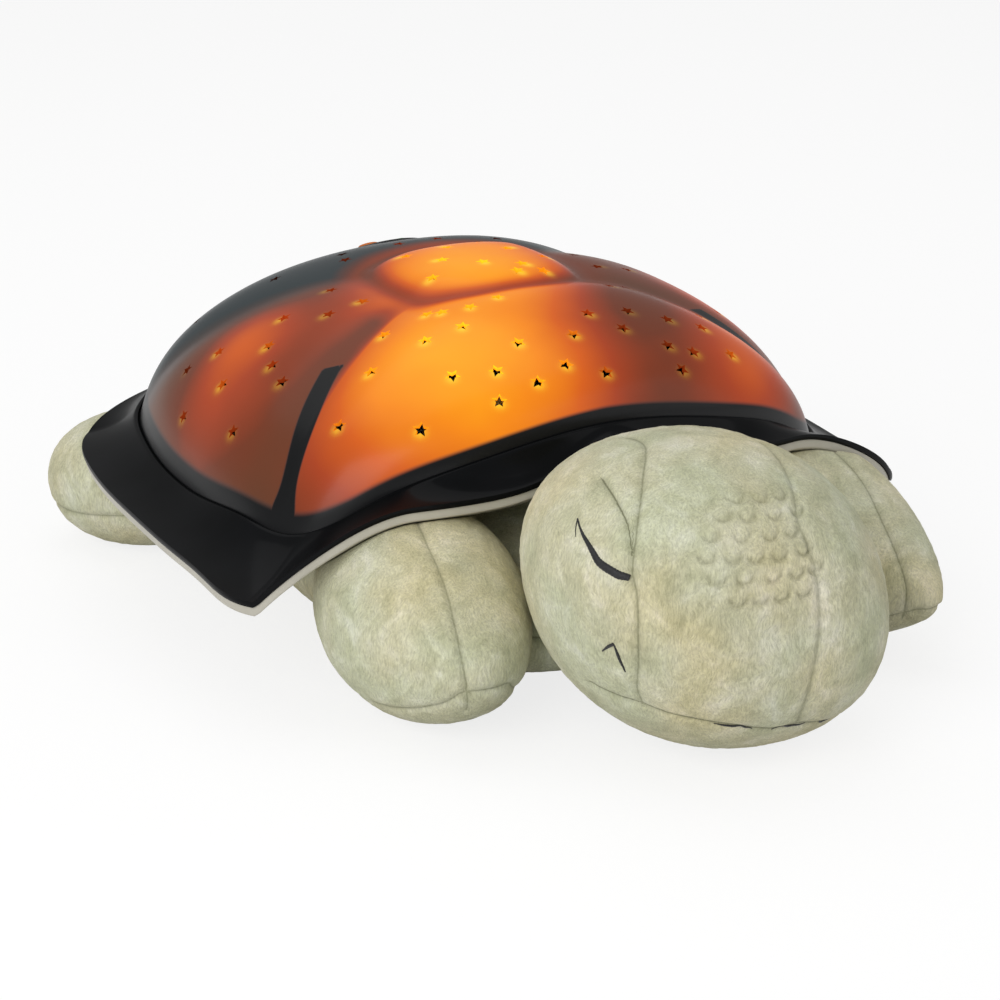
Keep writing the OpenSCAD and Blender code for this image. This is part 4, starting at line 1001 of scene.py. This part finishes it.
# The closed eyes, the nostrils and the smile are satin-stitched with thick black
# thread: each line is a low padded ridge of thread that tapers to its ends.
def stitched(name, carrier, line, widths, high):
    """A ridge of thread on the carrier along this line, with these widths on its way."""
    tree = surface(carrier)
    run = smooth_line(np.array(line) / 1000, 0.0004)
    spots, outs = [], []
    for p in run:
        hit, out = tree.find_nearest(Vector(p))[:2]
        spots.append(np.array(hit))
        outs.append(np.array(out))
    spots, outs = np.array(spots), np.array(outs)
    for _ in range(12):
        spots[1:-1] = (spots[:-2] + 2 * spots[1:-1] + spots[2:]) / 4
        outs[1:-1] = (outs[:-2] + 2 * outs[1:-1] + outs[2:]) / 4
    outs /= np.linalg.norm(outs, axis=1, keepdims=True)
    ways = np.gradient(spots, axis=0)
    ways /= np.linalg.norm(ways, axis=1, keepdims=True)
    across = np.cross(ways, outs)
    along = np.linspace(0, 1, len(spots))
    half = np.interp(along, np.linspace(0, 1, len(widths)), widths) / 2000
    rings = []
    for k in range(len(spots)):
        rib = 1 + 0.05 * math.sin(k * 2.1)
        lift = high * min(1, half[k] / 0.0006)
        rings.append([
            spots[k] + across[k] * half[k] * math.cos(u) * rib
            + outs[k] * (lift * (math.sin(u) * (rib if math.sin(u) > 0 else 0.6)) + 0.0001)
            for u in np.arange(12) * math.pi / 6
        ])
    made = skin(name, rings, tips=(spots[0], spots[-1]))
    made.data.materials.append(black_thread)
    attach(made, "turtle")
    return made


black_thread = new_material("black_thread", Roughness=0.55, Sheen_Weight=0.15, Specular_IOR_Level=0.4)
place = add_node(black_thread, "TexCoord").outputs["Object"]
strands = add_node(black_thread, "TexNoise", {"Vector": place, "Scale": 1500.0, "Detail": 2.0})
tone = add_node(black_thread, "ValToRGB", {"Fac": strands}, stops=((0.35, "0b0b0c"), (0.75, "232325")))
twist = add_node(black_thread, "Bump", {"Height": strands, "Strength": 0.5, "Distance": 0.0003})
shade(black_thread, Base_Color=tone, Normal=twist)
for name, line, widths, high in (
    ("near_eye", [
        (-57.4, -137.5, 96.2), (-58.2, -141, 93.8), (-58.4, -145.2, 91.4), (-58.2, -149.5, 88.5),
        (-58, -153.2, 85.8), (-56.2, -158.1, 84), (-54.4, -161.9, 83.1), (-52.3, -164.9, 83.1),
    ], (0.5, 0.8, 1.4, 2.1, 2.7, 3.0, 2.9, 2.2), 0.0007),
    ("near_eye_corner", [(-57.4, -137.5, 96.2), (-58.6, -138.8, 93.4), (-59.8, -140.5, 91)],
     (0.5, 0.45, 0.3), 0.0004),
    ("far_eye", [
        (47, -116, 95), (52, -121.5, 89.5), (56, -128, 84.5), (58.5, -135, 80.5), (59.5, -142, 78.5), (59, -148.5, 78),
    ], (0.5, 0.9, 1.8, 2.6, 2.9, 2.2), 0.0007),
    ("far_eye_corner", [(47, -116, 95), (49.5, -116.5, 91.5), (51.5, -118, 88.5)], (0.5, 0.45, 0.3), 0.0004),
    ("near_nostril_top", [(-57.2, -155, 53.6), (-56.4, -157.6, 56.2), (-55.6, -160.2, 58)],
     (0.5, 1.1, 1.2), 0.0005),
    ("near_nostril_side", [(-55.5, -160.2, 57.4), (-54.6, -160.8, 54.2), (-53.6, -161.2, 51), (-52, -161.8, 47.4)],
     (0.6, 1.2, 1.0, 0.5), 0.0005),
    ("far_nostril_top", [(58, -152, 54), (57.2, -154.6, 56.6), (56.4, -157.2, 58.4)], (0.5, 1.1, 1.2), 0.0005),
    ("far_nostril_side", [(56.3, -157.2, 57.8), (55.6, -158, 54.6), (54.8, -158.8, 51.4), (53.4, -159.6, 47.8)],
     (0.6, 1.2, 1.0, 0.5), 0.0005),
):
    stitched(name, head, line, widths, high)
# The smile is three short lines along the mouth seam
run = smooth_line(np.array(mouth_seam) / 1000)
for name, first, last in (("smile_a", 0.36, 0.50), ("smile_b", 0.53, 0.66), ("smile_c", 0.70, 0.78)):
    part = run[int(first * len(run)):int(last * len(run))][::8] * 1000
    stitched(name, head, part, (0.3, 0.8, 0.9, 0.7, 0.3), 0.0003)


# ---------------------------------------------------------------- inner works
# Under the belly a door closes a battery box of three cells. The box hangs from
# a moulded chassis, which also carries the timer board and the lamp board.
def finish_nodes(material, *names):
    """Gives CAD nodes their finish, in every material slot that they have."""
    for name in names:
        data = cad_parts[name].data
        if not data.materials:
            data.materials.append(material)
        for k in range(len(data.materials)):
            data.materials[k] = material


def moulded(name, dark, light, grain=900.0, raised=0.06, patches=45.0, **sockets):
    """Moulded plastic: a little uneven in tone, with a fine spark-eroded grain."""
    made = new_material(name, **sockets)
    place = add_node(made, "TexCoord").outputs["Object"]
    haze = add_node(made, "TexNoise", {"Vector": place, "Scale": patches, "Detail": 3.0})
    tone = add_node(made, "ValToRGB", {"Fac": haze}, stops=((0.3, dark), (0.7, light)))
    rough = add_node(made, "TexNoise", {"Vector": place, "Scale": grain, "Detail": 1.0})
    dull = add_node(made, "Bump", {"Height": rough, "Strength": raised, "Distance": 0.0003})
    gloss = add_node(made, "MapRange", {
        "Value": haze, "To Min": sockets["Roughness"] - 0.06, "To Max": sockets["Roughness"] + 0.08})
    shade(made, Base_Color=tone, Roughness=gloss, Normal=dull)
    return made


white_abs = moulded("white_abs", "d2d1c9", "dedcd4", Roughness=0.45, IOR=1.53)
finish_nodes(white_abs, "chassis")
# The door is dull sage plastic, coloured to vanish in the plush
sage_abs = moulded("sage_abs", "7f8a66", "8c9673", grain=1300.0, raised=0.12, Roughness=0.52, IOR=1.53)
finish_nodes(sage_abs, "battery_door")

# Zinc-plated screws: faint turning rings round each head, and a soft grey haze
zinc_steel = new_material("zinc_plated_steel", Metallic=1.0, Roughness=0.32)
place = add_node(zinc_steel, "TexCoord").outputs["Object"]
turned = add_node(zinc_steel, "TexNoise", {"Vector": place, "Scale": 800.0, "Detail": 2.0})
haze = add_node(zinc_steel, "TexNoise", {"Vector": place, "Scale": 160.0, "Detail": 3.0})
tone = add_node(zinc_steel, "ValToRGB", {"Fac": haze}, stops=((0.3, "9b9da0"), (0.7, "c3c5c8")))
rough = add_node(zinc_steel, "MapRange", {"Value": turned, "To Min": 0.24, "To Max": 0.42})
shade(zinc_steel, Base_Color=tone, Roughness=rough)
finish_nodes(
    zinc_steel, "shell_screws", "chassis_screws", "door_screws", "timer_board_screws", "lamp_board_screws",
    "button_board_screws")

# Contacts are bent from nickel-plated spring strip, brushed along the strip
nickel_steel = new_material("nickel_plated_spring_steel", Metallic=1.0, Roughness=0.2)
place = add_node(nickel_steel, "TexCoord").outputs["Object"]
along = add_node(nickel_steel, "Mapping", {"Vector": place, "Scale": (1.0, 1.0, 14.0)})
brushed = add_node(nickel_steel, "TexNoise", {"Vector": along, "Scale": 260.0, "Detail": 3.0})
tone = add_node(nickel_steel, "ValToRGB", {"Fac": brushed}, stops=((0.3, "c4c1b8"), (0.7, "dcdad2")))
rough = add_node(nickel_steel, "MapRange", {"Value": brushed, "To Min": 0.14, "To Max": 0.34})
shade(nickel_steel, Base_Color=tone, Roughness=rough)
finish_nodes(nickel_steel, "battery_contacts")


# Each cell has a plain two-colour foil jacket, with bare steel at both ends
for k in (1, 2, 3):
    low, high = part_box("battery_%d" % k)
    jacket = new_material("cell_jacket_%d" % k, Roughness=0.28, IOR=1.5, Coat_Weight=0.3)
    place = add_node(jacket, "TexCoord").outputs["Object"]
    axes = add_node(jacket, "SeparateXYZ", {0: place})
    scuffs = add_node(jacket, "TexNoise", {"Vector": place, "Scale": 420.0, "Detail": 3.0})
    way = add_node(jacket, "MapRange", {
        "Value": axes.outputs["X"], "From Min": low[0], "From Max": high[0]})
    bands = add_node(jacket, "ValToRGB", {"Fac": way}, stops=(
        (0.0, "b4b4ae"), (0.03, "1c4a33"), (0.62, "1c4a33"), (0.64, "b98a3c"),
        (0.955, "b98a3c"), (0.965, "bcbcb8")))
    bands.color_ramp.interpolation = "CONSTANT"
    worn = add_node(jacket, "MapRange", {"Value": scuffs, "To Min": 0.82, "To Max": 1.1})
    foil = add_node(jacket, "Mix", {0: 1.0, 6: bands, 7: worn}, data_type="RGBA", blend_type="MULTIPLY")
    bare = add_node(jacket, "ValToRGB", {"Fac": way}, stops=(
        (0.0, (1, 1, 1, 1)), (0.03, (0.2, 0.2, 0.2, 1)), (0.965, (1, 1, 1, 1))))
    bare.color_ramp.interpolation = "CONSTANT"
    shade(jacket, Base_Color=foil, Metallic=bare)
    finish_nodes(jacket, "battery_%d" % k)

# Insulated wires: soft vinyl, red from the cells, cream to the lamps and panel
for name, dark, light, nodes in (
    ("red_vinyl", "7c1410", "94201a", ("battery_leads",)),
    ("cream_vinyl", "b9b199", "cbc4ae", ("lamp_wires", "panel_wires")),
):
    vinyl = moulded(name, dark, light, grain=1600.0, raised=0.05, patches=90.0, Roughness=0.5, IOR=1.5)
    finish_nodes(vinyl, *nodes)


# Circuit boards: solder mask over the weave of the laminate, with copper tracks
# that show through as paler lines, and black moulded parts soldered on.
def circuit_board(name, mask, over_copper):
    made = new_material(name, Roughness=0.3, IOR=1.5, Coat_Weight=0.3)
    place = add_node(made, "TexCoord").outputs["Object"]
    tracks = add_node(made, "TexVoronoi", {
        "Vector": place, "Scale": 210.0, "Randomness": 0.4}, feature="DISTANCE_TO_EDGE", distance="MANHATTAN")
    copper = add_node(made, "ValToRGB", {"Fac": tracks}, stops=((0.05, over_copper), (0.09, mask)))
    fibres = add_node(made, "TexChecker", {"Vector": place, "Scale": 1400.0})
    cloth = add_node(made, "MapRange", {"Value": fibres.outputs["Fac"], "To Min": 0.93, "To Max": 1.0})
    face = add_node(made, "Mix", {0: 1.0, 6: copper, 7: cloth}, data_type="RGBA", blend_type="MULTIPLY")
    relief = add_node(made, "Bump", {"Height": tracks, "Strength": 0.15, "Distance": 0.0002})
    shade(made, Base_Color=face, Normal=relief)
    return made


finish_nodes(circuit_board("green_circuit_board", "123f24", "2a6a3c"), "timer_board", "button_board")
finish_nodes(circuit_board("white_circuit_board", "d9d9d2", "c6c5b8"), "lamp_board")
finish_nodes(moulded("black_epoxy", "0e0f10", "1b1c1e", grain=1800.0, raised=0.14, Roughness=0.48, IOR=1.5),
             "timer_chip", "button_switches")


# ---------------------------------------------------------------- lamps
# Three clear epoxy lamps stand in a glossy white cup. The amber one is lit.
for name, node, dark, light, glows in (
    ("amber_epoxy", "led_amber", "e07a14", "ffa92c", 1.0), ("green_epoxy", "led_green", "1c8a34", "36b04c", 0.0),
    ("blue_epoxy", "led_blue", "1c3fc0", "3a62dc", 0.0),
):
    lens = moulded(
        name, dark, light, grain=1500.0, raised=0.02, patches=240.0, Roughness=0.14, IOR=1.54, Coat_Weight=0.4,
        Emission_Strength=glows)
    shade(lens, Emission_Color="ffb640")
    finish_nodes(lens, node)
finish_nodes(moulded("glossy_white_abs", "e2e1db", "eceae4", raised=0.02, Roughness=0.2, IOR=1.53), "lamp_cup")


# ---------------------------------------------------------------- button panel
# A round dark panel with a raised rim sits in the back of the dome. It has a
# white power button and one button for each colour of light.
charcoal_abs = moulded("charcoal_abs", "17191a", "222425", grain=1500.0, raised=0.12, Roughness=0.44, IOR=1.53)
finish_nodes(charcoal_abs, "button_panel")
for name, node, dark, light in (
    ("white_rubber", "power_button", "cfcdc4", "dddbd2"), ("amber_rubber", "amber_button", "c4620c", "dc7a18"),
    ("green_rubber", "green_button", "2c7a30", "3c9440"), ("blue_rubber", "blue_button", "1d479c", "2c5cb8"),
):
    rubber = moulded(name, dark, light, grain=1700.0, raised=0.08, patches=150.0, Roughness=0.5, IOR=1.45)
    finish_nodes(rubber, node)
